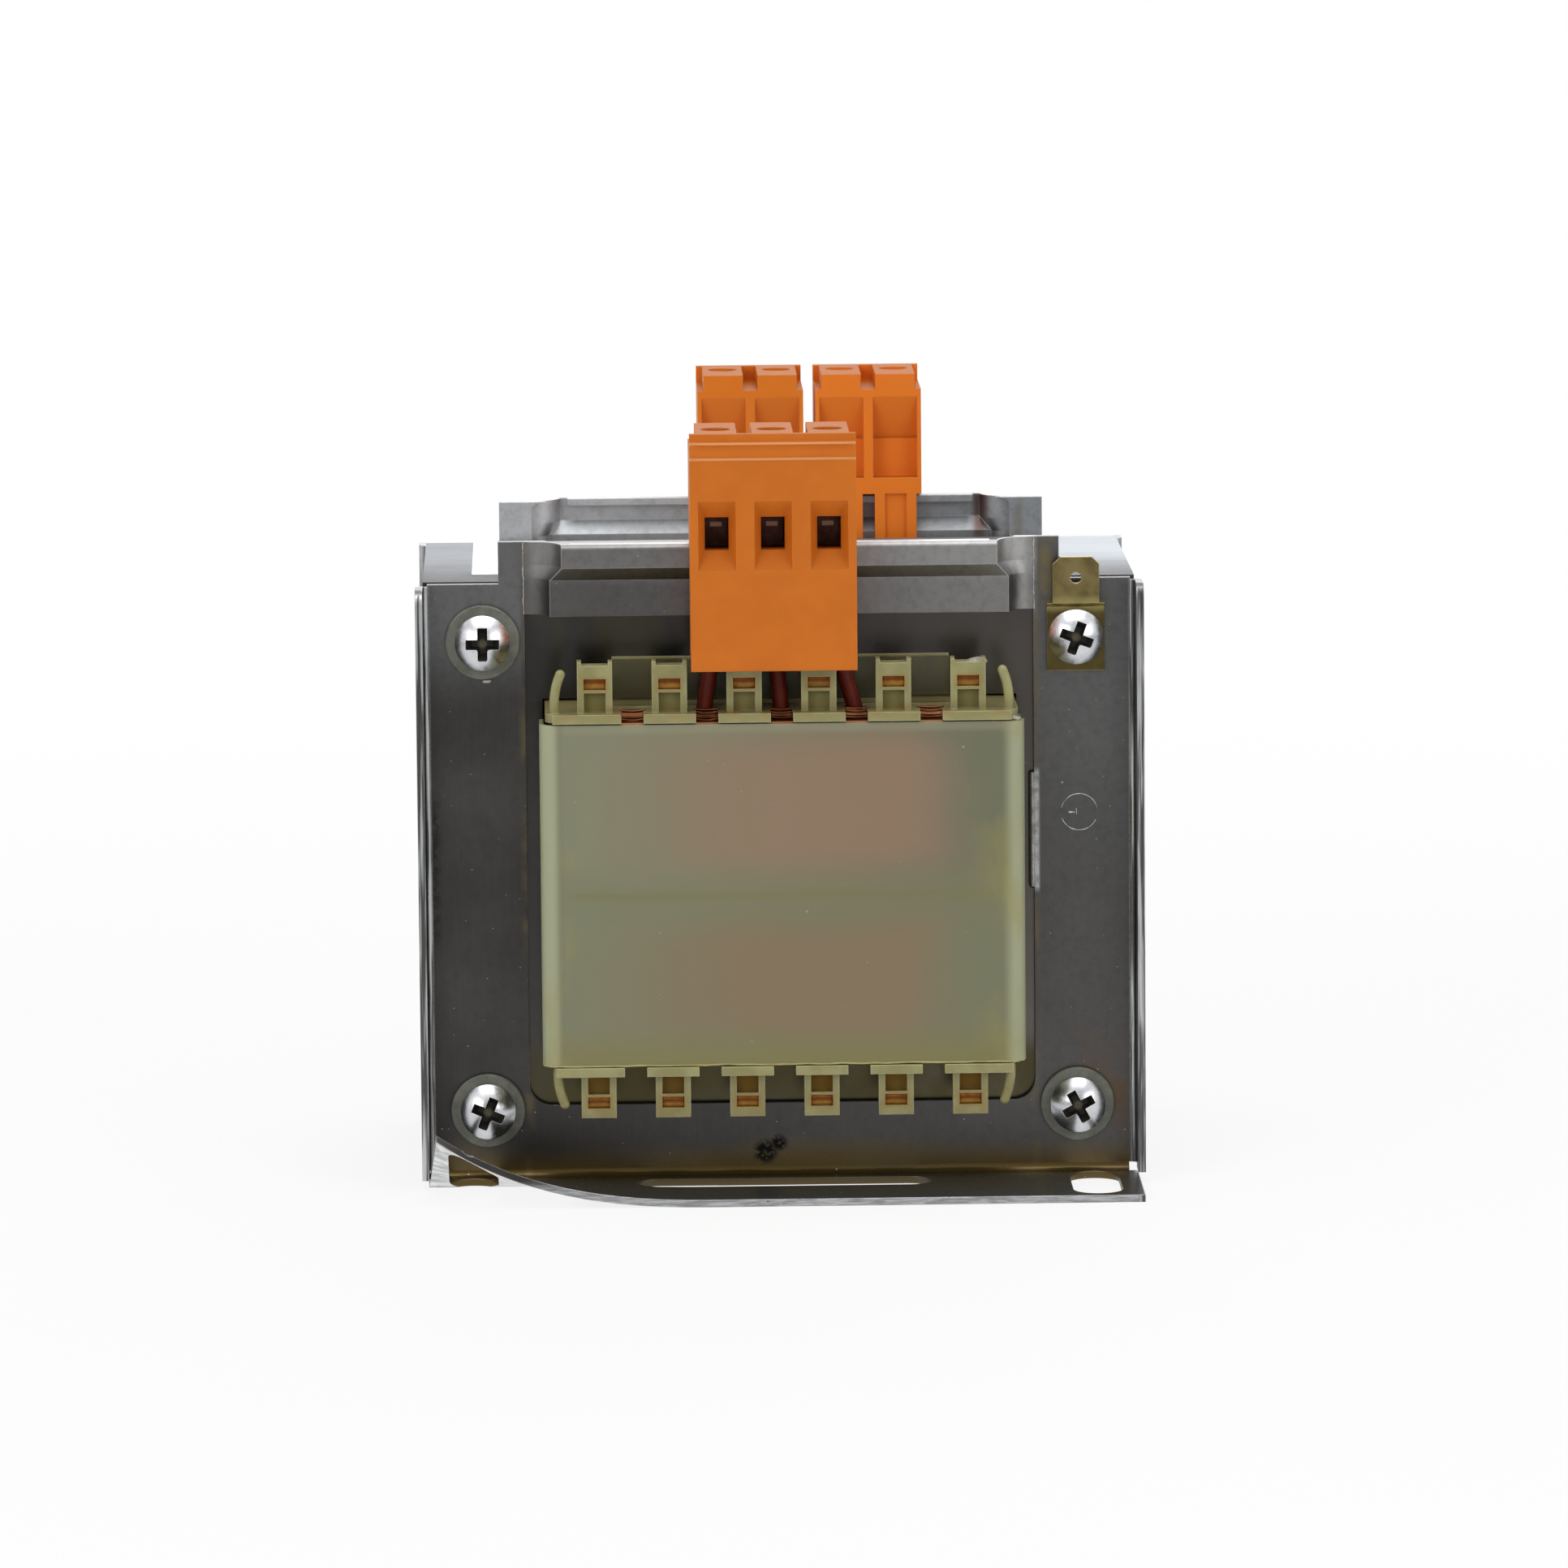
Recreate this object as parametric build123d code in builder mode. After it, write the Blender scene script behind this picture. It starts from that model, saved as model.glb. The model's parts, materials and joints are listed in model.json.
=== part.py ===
from build123d import *
from math import asin, cos, degrees, radians, sin
import os

os.makedirs("parts", exist_ok=True)

# Control transformer on an EI core, held between two stamped steel brackets.
# Millimetres. X runs to the right, Y away from the viewer, Z up.
# The origin is on the mounting plane, below the middle of the core.
# The front side faces -Y. A "reach" is a distance from the middle plane Y = 0.

# Laminated core
core_width = 96.0
core_height = 80.0
core_depth = 45.7
core_lift = 2.2
yoke_height = 16.0
centre_leg = 32.0
bolt_hole = 4.6

# Stamped brackets
sheet = 1.0
core_gap = 0.3
side_overhang = 1.0
flange_depth = 5.0
bend_inside = 0.6
shoulder_drop = 0.15
flange_drop = 0.3
flange_foot_gap = 0.4
flange_corner = 2.0
window_margin = 2.3
window_above_core = 8.6
window_corner = 3.0
ear_width = 3.5
ear_rise = 5.7
ear_fillet = 3.0

# Raised bridge between the ears, which carries the terminal blocks
bridge_drop = 4.3
bridge_low_step = 3.4
bridge_high_step = 5.0
bridge_low_band = 4.9
bridge_slope = 1.8
lip_depth = 2.6
lip_edge = 0.8
lip_end = 1.0

# Folded foot with its slots, and the damage to its front left corner
fold_inside = 1.0
foot_depth = 19.7
foot_end_gap = 0.9
foot_relief = 1.3
slot_inset = 7.0
slot_width = 6.7
slot_length = 17.0
slot_margin = 1.5
cutout_length = 40.0
cutout_width = 6.2
cutout_setback = 3.45
bent_start = 9.0
bent_lift = 8.9
bent_power = 2.5
bent_pull = 1.4
bent_stations = 10
bent_root = 0.3
bent_root_lift = 0.02
foot_strip = 1.0

# Rolled burr on the right-hand window edge
burr_radius = 0.5
burr_length = 16.0
burr_above_core = 45.5

# Screws, washers and nuts that clamp the brackets on the core
screw_size = 4.0
screw_head = 7.4
screw_head_height = 2.6
recess_span = 4.6
recess_arm = 1.35
recess_depth = 1.7
recess_corner = 0.3
recess_taper = 0.62
washer_diameter = 10.1
washer_thickness = 0.8
nut_across_flats = 7.0
nut_height = 3.2
screw_tail = 1.2
recess_angles = {
    "top_left": 0.0,
    "top_right": -20.0,
    "bottom_left": -22.0,
    "bottom_right": 28.0,
}

# Push-on earth tab
tab_width = 6.3
tab_base_width = 7.8
tab_base_below = 4.7
tab_base_above = 4.0
tab_joggle = 1.2
tab_joggle_height = 0.6
tab_blade = 6.3
tab_corner = 1.0
tab_hole = 1.5

# Bobbin with two winding chambers
tube_clearance = 0.3
tube_wall = 1.3
flange_thickness = 1.2
flange_clearance = 0.3
flange_overhang = 14.35
middle_flange_above_core = 39.1
outer_flange_drop = 0.4
notch_depth = 6.6
post_pitch = 10.0
post_count = 6
post_width = 4.7
post_thickness = 2.6
top_post_height = 6.4
bottom_post_height = 5.9
post_setback = 2.2
pad_width = 7.0
pad_thickness = 1.25
pad_overhang = 1.0
pad_end_inset = 1.0
horn_width = 0.55
horn_height = 0.5
pocket_width = 2.95
pocket_height = 2.7
pocket_depth = 1.3
eye_height = 1.5
eye_gap = 0.4
peg_inset = 1.4
peg_diameter = 1.3
peg_height = 5.9
peg_lean = 0.7
peg_setback = 0.8
barrier_setback = 8.0
barrier_thickness = 0.5
barrier_height = 6.8

# Windings and their translucent covers
winding_gap = 0.1
winding_corner = 7.0
winding_side_gap = 0.6
cover_wall = 0.6
cover_front_gap = 0.1
cover_side_gap = 0.2
cover_corner = 2.4
cover_top_gap = 0.2
cover_bottom_gap = 0.2
cover_side_drop = 1.0

# Terminal blocks
pole_pitch = 7.5
block_side_gap = 0.3
block_overhang = 10.65
block_setback = 4.35
front_block_x = -1.0
front_block_rise = 15.45
rear_left_block_x = -2.65
rear_right_block_x = 13.75
rear_block_rise = 16.8
block_height = 31.8
seat_gap = 0.4
rail_setback = 0.5
rail_height = 1.0
rail_slope = 1.75
head_notch_width = 2.0
head_notch_depth = 2.1
head_rail = 1.6
skirt_face = 2.6
skirt_relief = 1.5
lead_space_height = 6.5
lead_space_wall = 0.8
funnel_width = 5.05
funnel_height = 9.35
funnel_depth = 2.2
funnel_drop = 13.63
entry_width = 3.2
entry_height = 4.4
entry_drop = 13.5
panel_wall = 0.55
panel_rib = 1.3
panel_top_drop = 3.15
panel_ledge_drop = 9.25
panel_above_seat = 2.3
panel_depth = 3.0
panel_shelf = 0.5
leg_width = 5.8
leg_thickness = 1.4
leg_rib = 1.4
leg_recess = 0.5
hook_gap = 0.3
hook_height = 1.2
hook_reach = 1.5

# Rising-cage wire clamps inside the blocks
chamber_width = 5.0
chamber_depth = 5.0
chamber_wall = 0.55
cage_side_gap = 0.1
cage_wall = 0.7
cage_floor = 0.8
cage_top = 1.6
cage_back_gap = 0.15
cage_below_entry = 0.2
cage_travel = 3.6
bar_thickness = 0.7
bar_above_entry = 0.05
bar_to_cage_top = 0.4
bar_width = 3.0
tag_below_entry = 12.4
clamp_shank = 3.0
thread_clearance = 0.05
clamp_head = 3.8
clamp_head_height = 2.5
clamp_head_clearance = 0.1
clamp_tip_gap = 0.05
clamp_slot_width = 0.8
clamp_slot_depth = 0.9

# Insulated leads between the windings and the terminals
lead_diameter = 2.2
lead_overlap = 4.5
lead_tag_gap = 0.05
lead_turn_above_block = 5.4
lead_low_turn = 1.2
lead_bend_radius = 2.4
lead_end_setback = 5.2
front_lead_targets = [-10.3, 0.0, 9.9]
rear_lead_targets = [-10.0, 0.0, 10.0, 20.0]

# Blank label on the top of the core
label_length = 50.0
label_width = 37.8
label_thickness = 0.15
label_left_inset = 6.6
label_back_inset = 0.6

# Places that follow from the sizes above
core_bottom = core_lift
core_top = core_lift + core_height
joint_z = core_top - yoke_height
bolt_x = core_width / 2 - yoke_height / 2
low_bolt_z = core_bottom + yoke_height / 2
high_bolt_z = core_top - yoke_height / 2
bolt_places = {
    "top_left": (-bolt_x, high_bolt_z),
    "top_right": (bolt_x, high_bolt_z),
    "bottom_left": (-bolt_x, low_bolt_z),
    "bottom_right": (bolt_x, low_bolt_z),
}
plate_back = core_depth / 2 + core_gap
plate_front = plate_back + sheet
bracket_width = core_width + 2 * side_overhang
bend_outside = bend_inside + sheet
fold_outside = fold_inside + sheet
window_half = core_width / 2 - yoke_height + window_margin
window_bottom = core_bottom + window_above_core
ear_half = window_half + ear_width
shoulder_z = core_top - shoulder_drop
flange_top = shoulder_z - flange_drop
flange_bottom = sheet + flange_foot_gap
ear_top = shoulder_z + ear_rise
bridge_bottom = core_top - bridge_drop
bridge_slope_start = bridge_bottom + bridge_low_band
bridge_slope_end = bridge_slope_start + bridge_slope
bridge_low_front = plate_front + bridge_low_step
bridge_high_front = plate_front + bridge_high_step
foot_half = bracket_width / 2 - foot_end_gap
foot_front = plate_front + foot_depth
fold_reach = plate_back + fold_outside
bend_reach = fold_reach + foot_strip
slot_x = bracket_width / 2 - slot_inset
slot_reach = foot_front - slot_margin - slot_length / 2
washer_face = plate_front + washer_thickness
flange_half = core_width / 2 - yoke_height - flange_clearance
tube_half_x = centre_leg / 2 + tube_clearance + tube_wall
tube_half_y = core_depth / 2 + tube_clearance + tube_wall
top_flange_top = joint_z - flange_clearance
top_flange_bottom = top_flange_top - flange_thickness
bottom_flange_bottom = core_bottom + yoke_height + flange_clearance
bottom_flange_top = bottom_flange_bottom + flange_thickness
outer_flange_bottom = bottom_flange_bottom - outer_flange_drop
middle_flange_z = core_bottom + middle_flange_above_core
flange_reach = core_depth / 2 + flange_overhang
barrier_reach = flange_reach - barrier_setback
lead_end_reach = flange_reach - lead_end_setback
winding_reach = flange_reach - winding_side_gap
cover_reach = flange_reach + cover_front_gap + cover_wall
cover_half_width = flange_half + cover_side_gap + cover_wall
block_outer = bridge_high_front + block_overhang
block_inner = bridge_high_front - block_setback
chamber_inner = bridge_high_front + seat_gap + chamber_wall
chamber_outer = chamber_inner + chamber_depth
cage_inner = chamber_inner + bar_thickness + cage_back_gap
cage_outer = chamber_outer - cage_side_gap
clamp_reach = (cage_inner + cage_outer) / 2
seat_z = ear_top + seat_gap
front_block_top = seat_z + front_block_rise
rear_block_top = seat_z + rear_block_rise
bar_top_drop = entry_drop - entry_height / 2 - bar_above_entry - bar_thickness
cage_top_drop = bar_top_drop - bar_to_cage_top - cage_top
chamber_top_drop = cage_top_drop - cage_travel - cage_side_gap


def box_between(x_range, y_range, z_range, mode=Mode.ADD):
    """A block given by its lowest and highest X, Y and Z."""
    x0, x1 = x_range
    y0, y1 = y_range
    z0, z1 = z_range
    with BuildSketch(Plane.XY.offset(z0)) as base:
        with Locations(((x0 + x1) / 2, (y0 + y1) / 2)):
            Rectangle(x1 - x0, y1 - y0)
    extrude(base.sketch, amount=z1 - z0, mode=mode)


def e_stack():
    """E laminations: two outer legs, the centre leg and the lower yoke."""
    window = core_width / 2 - yoke_height - centre_leg / 2
    with BuildPart() as stack:
        with BuildSketch(Plane.XZ.offset(-core_depth / 2)):
            with Locations((0, core_bottom)):
                Rectangle(core_width, core_height - yoke_height, align=(Align.CENTER, Align.MIN))
            for side in (-1, 1):
                with Locations((side * (centre_leg / 2 + window / 2), joint_z)):
                    Rectangle(
                        window,
                        joint_z - core_bottom - yoke_height,
                        align=(Align.CENTER, Align.MAX),
                        mode=Mode.SUBTRACT,
                    )
            with Locations((-bolt_x, low_bolt_z), (bolt_x, low_bolt_z)):
                Circle(bolt_hole / 2, mode=Mode.SUBTRACT)
        extrude(amount=core_depth)
    return stack.part


def i_stack():
    """I laminations: the upper yoke, butted on the three legs."""
    with BuildPart() as stack:
        with BuildSketch(Plane.XZ.offset(-core_depth / 2)):
            with Locations((0, joint_z)):
                Rectangle(core_width, yoke_height, align=(Align.CENTER, Align.MIN))
            with Locations((-bolt_x, high_bolt_z), (bolt_x, high_bolt_z)):
                Circle(bolt_hole / 2, mode=Mode.SUBTRACT)
        extrude(amount=core_depth)
    return stack.part


def bridge_plan(z, front):
    """Plan of the bridge strip at one height, with its outer face at the given reach."""
    radius = front - plate_front
    inner_start = (0, -(front - sheet))
    inner_turn = (window_half - radius, -(front - sheet))
    inner_end = (window_half - sheet, -plate_front)
    outer_end = (window_half, -plate_front)
    outer_turn = (window_half - radius, -front)
    outer_start = (0, -front)
    with BuildSketch(Plane.XY.offset(z)) as plan:
        with BuildLine():
            Line(inner_start, inner_turn)
            RadiusArc(inner_turn, inner_end, radius - sheet)
            Polyline(inner_end, (window_half - sheet, -plate_back), (window_half, -plate_back), outer_end)
            RadiusArc(outer_end, outer_turn, -radius)
            Polyline(outer_turn, outer_start, inner_start)
        make_face()
        mirror(about=Plane.YZ)
    return plan.sketch


def bent_angle(x):
    """How far the bent part of the foot is turned up at one place along X."""
    share = (-x - bent_start) / (foot_half - bent_start)
    return degrees(asin(bent_lift * share**bent_power / (foot_front - bend_reach)))


def foot_section(x, angle, pull):
    """One section of the bent foot, on a plane across it."""
    length = foot_front - bend_reach
    yaw = asin(pull / length)
    plane = Plane(
        origin=(x, -bend_reach, 0),
        x_dir=(sin(yaw), -cos(yaw), 0),
        z_dir=(-cos(yaw), -sin(yaw), 0),
    )
    run = cos(radians(angle))
    rise = sin(radians(angle))
    with BuildSketch(plane) as section:
        with BuildLine():
            Polyline(
                (-bent_root_lift, bent_root_lift),
                (length * run, length * rise),
                (length * run - sheet * rise, length * rise + sheet * run),
                (-sheet * rise - bent_root * run, sheet * run - bent_root * rise),
                (-bent_root, bent_root),
                close=True,
            )
        make_face()
    return section.sketch


def foot(bent):
    """The fold, the foot and its slots, added to the bracket being built."""
    fold_half = bracket_width / 2 - bend_outside - foot_relief + foot_end_gap
    with BuildSketch(Plane.YZ.offset(-fold_half)) as fold:
        with BuildLine():
            Line((-plate_back, fold_outside), (-plate_front, fold_outside))
            RadiusArc((-plate_front, fold_outside), (-fold_reach, sheet), fold_inside)
            Line((-fold_reach, sheet), (-fold_reach, 0))
            RadiusArc((-fold_reach, 0), (-plate_back, fold_outside), -fold_outside)
        make_face()
    extrude(fold.sketch, amount=2 * fold_half)
    flat_start = -bent_start if bent else -foot_half
    box_between((-foot_half, foot_half), (-bend_reach, -fold_reach), (0, sheet))
    box_between((flat_start, foot_half), (-foot_front, -bend_reach), (0, sheet))
    if bent:
        sections = []
        for station in range(bent_stations + 1):
            share = station / bent_stations
            x = -bent_start - (foot_half - bent_start) * share**0.8
            sections.append(foot_section(x, bent_angle(x), bent_pull * share**3))
        loft(sections)
    reach = bent_lift + 2 * sheet
    with BuildSketch(Plane.XY.offset(-sheet)) as slots:
        with Locations((-slot_x, -slot_reach), (slot_x, -slot_reach)):
            SlotOverall(slot_length, slot_width, rotation=90)
        with Locations((0, -(plate_front + cutout_setback + cutout_width / 2))):
            SlotOverall(cutout_length, cutout_width)
    extrude(slots.sketch, amount=reach, mode=Mode.SUBTRACT)


def bracket(bent):
    """One bracket: side flanges, plate with ears, raised bridge and foot."""
    channel_depth = sheet + flange_depth
    plate_width = bracket_width - 2 * bend_outside
    with BuildPart() as frame:
        with BuildSketch(Plane.XY.offset(flange_bottom)) as plan:
            with Locations((0, -plate_back)):
                Rectangle(bracket_width, channel_depth, align=(Align.CENTER, Align.MAX))
            fillet(plan.vertices().group_by(Axis.Y)[-1], radius=bend_outside)
            with Locations((0, -plate_front)):
                Rectangle(
                    bracket_width - 2 * sheet,
                    flange_depth,
                    align=(Align.CENTER, Align.MAX),
                    mode=Mode.SUBTRACT,
                )
            hollow = [vertex for vertex in plan.vertices() if abs(vertex.Y + plate_front) < 0.01]
            fillet(hollow, radius=bend_inside)
        extrude(amount=flange_top - flange_bottom)
        corners = [
            edge
            for edge in frame.edges().filter_by(Axis.X).group_by(Axis.Z)[-1]
            if edge.center().Y < -plate_front - flange_depth / 2
        ]
        fillet(corners, radius=flange_corner)
        box_between(
            (-bracket_width / 2, bracket_width / 2),
            (-plate_front - bend_inside, -plate_back),
            (flange_bottom, fold_outside),
            mode=Mode.SUBTRACT,
        )
        with BuildSketch(Plane.XZ.offset(plate_back)) as face:
            with Locations((0, fold_outside)):
                Rectangle(plate_width, shoulder_z - fold_outside, align=(Align.CENTER, Align.MIN))
            with Locations((0, shoulder_z)):
                Rectangle(2 * ear_half, ear_rise, align=(Align.CENTER, Align.MIN))
            inner = [
                vertex
                for vertex in face.vertices()
                if abs(vertex.Z - shoulder_z) < 0.01 and abs(abs(vertex.X) - ear_half) < 0.01
            ]
            fillet(inner, radius=ear_fillet)
        extrude(amount=sheet)
        with BuildSketch(Plane.XZ.offset(plate_back)) as opening:
            with Locations((0, window_bottom)):
                Rectangle(2 * window_half, ear_top - window_bottom, align=(Align.CENTER, Align.MIN))
            fillet(opening.vertices().group_by(Axis.Z)[0], radius=window_corner)
        extrude(amount=sheet, mode=Mode.SUBTRACT)
        low_start = bridge_plan(bridge_bottom, bridge_low_front)
        low_end = bridge_plan(bridge_slope_start, bridge_low_front)
        high_start = bridge_plan(bridge_slope_end, bridge_high_front)
        extrude(low_start, amount=bridge_low_band)
        loft([low_end, high_start], ruled=True)
        extrude(high_start, amount=ear_top - bridge_slope_end)
        lip_half = window_half - bridge_high_step - lip_end
        box_between(
            (-lip_half, lip_half),
            (-bridge_high_front, -bridge_high_front + lip_depth),
            (ear_top - sheet, ear_top),
        )
        top_edges = [
            edge
            for edge in frame.edges().group_by(Axis.Z)[-1]
            if edge.center().Y < -plate_front - bridge_high_step * 0.6
            and edge.center().Y < -(bridge_high_front - sheet / 2)
        ]
        fillet(top_edges, radius=lip_edge)
        with Locations(*[(x, -plate_back, z) for x, z in bolt_places.values()]):
            Cylinder(bolt_hole / 2, 4 * sheet, rotation=(90, 0, 0), mode=Mode.SUBTRACT)
        foot(bent)
        if bent:
            burr_x = window_half - burr_radius * 0.4
            burr_y = -plate_front + burr_radius
            with Locations((burr_x, burr_y, core_bottom + burr_above_core)):
                Cylinder(burr_radius, burr_length - 2 * burr_radius)
            for end in (-1, 1):
                end_z = core_bottom + burr_above_core + end * (burr_length / 2 - burr_radius)
                with Locations((burr_x, burr_y, end_z)):
                    Sphere(burr_radius)
    return frame.part


def post_x_places():
    """Middles of the pin posts along X."""
    first = -post_pitch * (post_count - 1) / 2
    return [first + post_pitch * index for index in range(post_count)]


def blocks_on_both_sides(middles, width, near, far, low, high, mode=Mode.ADD):
    """Equal blocks between two reaches, at each X, along both long edges of the bobbin."""
    places = [(x, side * (near + far) / 2) for x in middles for side in (-1, 1)]
    with BuildSketch(Plane.XY.offset(low)) as group:
        with Locations(*places):
            Rectangle(width, far - near)
    extrude(group.sketch, amount=high - low, mode=mode)


def bobbin_flange(low, high, outside_only=False):
    """One flange of the bobbin, or only its stretches in front of and behind the core."""
    outside_y = core_depth / 2 + core_gap + tube_clearance
    with BuildSketch(Plane.XY.offset(low)) as plate:
        RectangleRounded(2 * flange_half, 2 * flange_reach, cover_corner)
        if outside_only:
            Rectangle(2 * flange_half + 2, 2 * outside_y, mode=Mode.SUBTRACT)
    extrude(plate.sketch, amount=high - low)


def bobbin():
    """Tube, three flanges, and the pin posts, pads and pegs of both sides."""
    half_flange = flange_thickness / 2
    with BuildPart() as form:
        with BuildSketch(Plane.XY.offset(bottom_flange_bottom)):
            Rectangle(2 * tube_half_x, 2 * tube_half_y)
        extrude(amount=top_flange_top - bottom_flange_bottom)
        bobbin_flange(bottom_flange_bottom, bottom_flange_top)
        bobbin_flange(middle_flange_z - half_flange, middle_flange_z + half_flange)
        bobbin_flange(top_flange_bottom, top_flange_top)
        bobbin_flange(outer_flange_bottom, bottom_flange_bottom, outside_only=True)
        with BuildSketch(Plane.XY.offset(bottom_flange_bottom - 1)):
            Rectangle(2 * (tube_half_x - tube_wall), 2 * (tube_half_y - tube_wall))
        extrude(amount=top_flange_top - bottom_flange_bottom + 2, mode=Mode.SUBTRACT)
        bobbin_notches_and_pads()
        pin_posts(top_flange_top, 1, top_post_height)
        pin_posts(outer_flange_bottom - pad_thickness, -1, bottom_post_height)
        bobbin_pegs()
    return form.part


def bobbin_notches_and_pads():
    """Notches for the wires, the pads at the posts, and the upright barriers."""
    notch_reach = flange_reach - notch_depth
    pad_front = flange_reach + pad_overhang
    pad_low = outer_flange_bottom - pad_thickness
    gaps = [x + post_pitch / 2 for x in post_x_places()[:-1]]
    gap = post_pitch - pad_width
    blocks_on_both_sides(
        gaps, gap, notch_reach, flange_reach, top_flange_bottom, top_flange_top, mode=Mode.SUBTRACT
    )
    inner_posts = post_x_places()[1:-1]
    top_pad = (top_flange_bottom, top_flange_bottom + pad_thickness)
    for low, high in (top_pad, (pad_low, outer_flange_bottom)):
        blocks_on_both_sides(inner_posts, pad_width, notch_reach, pad_front, low, high)
        end_start = post_x_places()[-1] - pad_width / 2
        end_stop = flange_half - pad_end_inset
        end_middle = (end_start + end_stop) / 2
        blocks_on_both_sides(
            [-end_middle, end_middle], end_stop - end_start, notch_reach, pad_front, low, high
        )
    barrier_width = post_pitch * (post_count - 1) - post_width
    blocks_on_both_sides(
        [0],
        barrier_width,
        barrier_reach,
        barrier_reach + barrier_thickness,
        top_flange_top,
        top_flange_top + barrier_height,
    )


def pin_posts(root, way, height):
    """Posts with their pockets and pin eyes; way is 1 upwards and -1 downwards."""
    middles = post_x_places()
    post_front = flange_reach + pad_overhang - post_setback
    post_back = post_front - post_thickness

    def span(low, high):
        return sorted((root + way * low, root + way * high))

    blocks_on_both_sides(middles, post_width, post_back, post_front, *span(0, height))
    pocket_back = post_front - pocket_depth
    pocket = span(0, pocket_height)
    blocks_on_both_sides(middles, pocket_width, pocket_back, post_front, *pocket, mode=Mode.SUBTRACT)
    eye = span(pocket_height + eye_gap, pocket_height + eye_gap + eye_height)
    blocks_on_both_sides(middles, pocket_width, post_back, post_front, *eye, mode=Mode.SUBTRACT)
    if way > 0:
        horn_x = (post_width - horn_width) / 2
        horns = [x + end * horn_x for x in middles for end in (-1, 1)]
        blocks_on_both_sides(horns, horn_width, post_back, post_front, *span(height, height + horn_height))


def bobbin_pegs():
    """Thin pegs with round tips at the ends of both edges, leaning a little inwards."""
    radius = peg_diameter / 2
    peg_x = flange_half - peg_inset
    peg_y = flange_reach - peg_setback - radius
    for root, way in ((top_flange_top, 1), (outer_flange_bottom, -1)):
        for end in (-1, 1):
            for side in (-1, 1):
                foot_point = (end * peg_x, side * peg_y, root - way * flange_thickness / 2)
                middle = (end * peg_x, side * peg_y, root + way * peg_height / 2)
                tip = (end * (peg_x - peg_lean), side * peg_y, root + way * (peg_height - radius))
                with BuildLine() as stem:
                    ThreePointArc(foot_point, middle, tip)
                with BuildSketch(Plane(origin=foot_point, z_dir=stem.line % 0)) as section:
                    Circle(radius)
                sweep(section.sketch, path=stem.line)
                with Locations(tip):
                    Sphere(radius)


def winding(low, high):
    """One winding as a rounded block of turns around the bobbin tube."""
    with BuildPart() as coil:
        with BuildSketch(Plane.XY.offset(low + winding_gap)):
            RectangleRounded(2 * (flange_half - winding_side_gap), 2 * winding_reach, winding_corner)
            Rectangle(2 * (tube_half_x + winding_gap), 2 * (tube_half_y + winding_gap), mode=Mode.SUBTRACT)
        extrude(amount=high - low - 2 * winding_gap)
    return coil.part


def winding_cover():
    """Translucent cover over the front of the windings, open above and below."""
    low = outer_flange_bottom + cover_bottom_gap
    high = top_flange_bottom - cover_top_gap
    side_end = core_depth / 2 + core_gap
    depth = cover_reach - side_end
    with BuildPart() as cover:
        with BuildSketch(Plane.XY.offset(low)) as plan:
            with Locations((0, -side_end)):
                Rectangle(2 * cover_half_width, depth, align=(Align.CENTER, Align.MAX))
            fillet(plan.vertices().group_by(Axis.Y)[0], radius=cover_corner)
        extrude(amount=high - low)
        inner_width = 2 * (cover_half_width - cover_wall)
        with BuildSketch(Plane.XY.offset(low)) as hollow:
            with Locations((0, -side_end)):
                Rectangle(inner_width, depth - cover_wall, align=(Align.CENTER, Align.MAX))
            fillet(hollow.vertices().group_by(Axis.Y)[0], radius=cover_corner - cover_wall)
        extrude(amount=high - low, mode=Mode.SUBTRACT)
        for side in (-1, 1):
            wall_x = sorted((side * (cover_half_width - cover_wall), side * cover_half_width))
            box_between(
                (wall_x[0], wall_x[1]),
                (-cover_reach + cover_corner, -side_end),
                (high - cover_side_drop, high),
                mode=Mode.SUBTRACT,
            )
    return cover.part


def block_outline(x, top):
    """Side view of a terminal block, astride the bridge of the bracket."""
    bottom = top - block_height
    skirt_inner = bridge_high_front + seat_gap
    with BuildSketch(Plane.YZ.offset(x)) as outline:
        with BuildLine():
            Polyline(
                (-block_inner, seat_z),
                (-skirt_inner, seat_z),
                (-skirt_inner, bottom),
                (-block_outer, bottom),
                (-block_outer, top - rail_height - rail_slope),
                (-(block_outer - rail_setback), top - rail_height),
                (-(block_outer - rail_setback), top),
                (-block_inner, top),
                close=True,
            )
        make_face()
    return outline.sketch


def pole_places(middle, poles):
    """Middles of the poles of one block along X."""
    first = middle - pole_pitch * (poles - 1) / 2
    return [first + pole_pitch * index for index in range(poles)]


def panel_outline(x, top):
    """Side view of one recess in the inner face of a block."""
    floor = block_inner + panel_depth
    with BuildSketch(Plane.YZ.offset(x)) as outline:
        with BuildLine():
            Polyline(
                (-block_inner + 1, top - panel_top_drop),
                (-block_inner, top - panel_top_drop),
                (-floor, top - panel_ledge_drop),
                (-(floor - panel_shelf), top - panel_ledge_drop),
                (-(floor - panel_shelf), seat_z + panel_above_seat),
                (-block_inner + 1, seat_z + panel_above_seat),
                close=True,
            )
        make_face()
    return outline.sketch


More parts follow.
